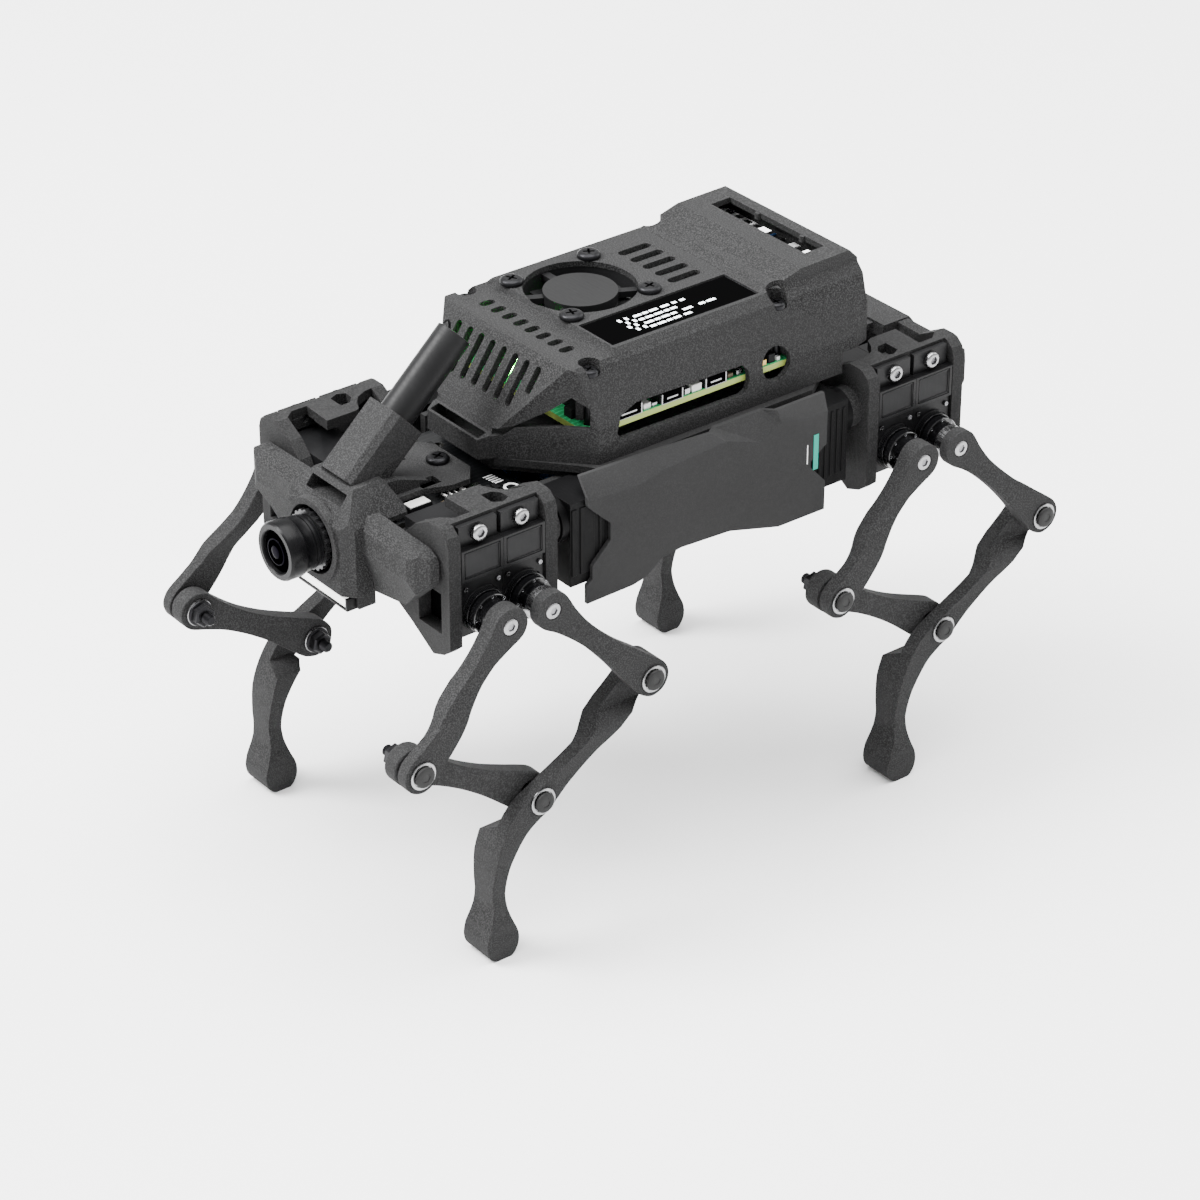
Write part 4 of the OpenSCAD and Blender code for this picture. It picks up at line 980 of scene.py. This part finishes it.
# scattered passives and chips over the board
for i in range(9):
    for j in range(6):
        x = -17 + i * 4.1 + (j % 2) * 1.3
        y = -28 + j * 10.5 + (i % 3) * 1.7
        if -9 < x < 8 and -28 < y < 4:
            continue
        if y > 31:
            continue
        blk(x, y, 119.5, x + 1.7 - 0.3 * (i % 2), y + 0.9 + 0.3 * (j % 3), 120.15, CERAMIC if (i + j) % 3 else CHIP)
for x, y, sx, sy, hz, mat in ((11, -27, 6, 5, 1.2, CHIP), (12, -12, 5, 5, 1.0, CHIP), (-18, -29.5, 4.6, 4.6, 1.0, CHIP), (9, 12, 7, 7, 1.3, CHIP), (-16, 12, 9, 9, 1.4, CHIP), (-12.5, -30.6, 4, 1.8, 1.6, STEEL), (1.5, -30.6, 3.2, 2.4, 1.5, STEEL), (8.2, -31, 2.0, 3.0, 2.0, WHITEP), (17.5, -30.2, 3.0, 3.6, 2.4, BLACKP), (21.2, -27.4, 2.2, 2.4, 3.6, STEEL)):
    blk(x, y, 119.5, x + sx, y + sy, 119.5 + hz, mat)
for x, y in ((-22.6, -22.4), (-18.4, -24.6), (-13.4, -22.6), (-9.0, -26.4), (-4.2, -23.2), (2.4, -25.6)):
    blk(x, y, 119.5, x + 1.1, y + 1.1, 120.7, LED)
blk(17.2, -23.4, 119.5, 17.8, -22.8, 120.0, LED)
# pin header
for k in range(20):
    for x in (-24.77, -22.23):
        y = -23.2 + 2.45 * k
        blk(x - 0.3, y - 0.3, 127.3, x + 0.3, y + 0.3, 130.3, GOLD)
        blk(x - 0.32, y - 0.32, 127.36, x + 0.32, y + 0.32, 127.5, GOLD)
# tops of the shielded ports: light front edges, then black plates over the metal tops as painted shade inside the case
for x in (-18, -0.9):
    blk(x - 6.4, 37.0, 133.3, x + 6.4, 43.6, 133.6, STEEL)
    blk(x - 6.9, 43.6, 133.3, x + 6.9, 56.4, 133.5, BLACKP)
    for k in range(2):
        blk(x - 5.6, 54.4, 121.4 + k * 6.0, x + 5.6, 54.75, 125.9 + k * 6.0, BLACKP)
        blk(x - 4.9, 54.5, 123.2 + k * 6.0, x + 4.9, 54.85, 124.6 + k * 6.0, WHITEP)
# white U strips on the first port top: painted highlights of the metal shell
for xa in (-24.9, -17.4):
    blk(xa, 48.0, 133.45, xa + 0.75, 56.0, 134.0, WHITE_PRINT_AND_HIGHLIGHT)
    blk(xa + 3.9, 48.0, 133.45, xa + 4.65, 56.0, 134.0, WHITE_PRINT_AND_HIGHLIGHT)
    blk(xa + 0.7, 55.3, 133.45, xa + 4.0, 56.0, 134.0, WHITE_PRINT_AND_HIGHLIGHT)
# small steel, blue and white blocks on the second port top; the white ones are painted glints
for k in range(5):
    blk(-7.4 + 1.75 * k, 50.6 + (k % 3) * 0.9, 133.45, -6.7 + 1.75 * k, 53.2 + (k % 2) * 2.0, 133.9, (STEEL, CELL, WHITE_PRINT_AND_HIGHLIGHT)[k % 3])
# white bar on the second port top: painted highlight
blk(1.6, 49.0, 133.45, 4.0, 55.8, 134.0, WHITE_PRINT_AND_HIGHLIGHT)
blk(9.2, 45.0, 132.9, 24.0, 54.6, 133.1, BLACKP)
blk(10.6, 54.2, 121.0, 22.6, 54.6, 131.4, BLACKP)
cb.make("board_parts", "body", "green_board", bevel=0.07, seg=1)

# two small bosses at the back edge of the long rear window
rb = Piece()
for x in (-6.9, 10.2):
    rb.lathe([(0, 0), (1.0, 0), (0.8, 1.5), (0, 1.6)], P, Matrix.Translation((x, 50.6 + YO, 138.9)), 24)
rb.make("rear_window_ribs", "body", "printed")

# ------------------------------------------------------------------ control board on the head deck


def ctrl_pick(c_, n_):
    if c_.z < 104.52:
        return 0
    return 1 if c_.x > 3 and c_.y - YO < -65 else (2 if c_.x > 3 else 3)


cad("control_board", [PCB_K, BLACKP, STEEL, CHIP], ctrl_pick, bevel=0.15, seg=2)
kb = Piece()
for k in range(5):
    kb.box((8.4 + 0.95 * k, -47.9 + 0.12 * k + YO, 104.5), (8.85 + 0.95 * k, -45.2 + 0.12 * k + YO, 104.56), WHITE_PRINT_AND_HIGHLIGHT)
kb.lathe([(2.0, 0), (2.0, 0.07), (1.3, 0.07), (1.3, 0)], WHITE_PRINT_AND_HIGHLIGHT, Matrix.Translation((16.3, -45.2 + YO, 104.48)), 32, closed=True)
for x, y, sx, sy, hz, mat in ((-4.6, -76, 4, 3, 1.0, CHIP), (1.2, -76, 2, 1.2, 0.7, CERAMIC), (-12, -70, 2.4, 5.6, 1.6, BLACKP), (-8.4, -66, 1.4, 0.9, 0.6, CERAMIC), (9.9, -76.8, 3.4, 2.2, 1.6, STEEL), (10.4, -56.4, 1.8, 1.1, 1.0, WHITEP), (12.6, -63.4, 1.2, 0.9, 0.6, CERAMIC), (10.6, -54.6, 1.4, 3.4, 0.9, STEEL), (12.4, -52.6, 1.6, 1.0, 0.7, CERAMIC), (13.4, -49.4, 2.2, 1.4, 0.8, CHIP)):
    kb.box((x, y + YO, 104.5), (x + sx, y + sy + YO, 104.5 + hz), mat)
for k in range(5):
    kb.box((10.15, -61.5 + 0.75 * k + YO, 105.5), (12.3, -61.1 + 0.75 * k + YO, 105.75), STEEL_DULL if k % 2 else WHITEP)
kb.box((9.8, -72.2 + YO, 106.15), (12.7, -66.4 + YO, 106.4), WHITEP)
kb.make("control_parts", "body", "dark_board", bevel=0.06, seg=1)

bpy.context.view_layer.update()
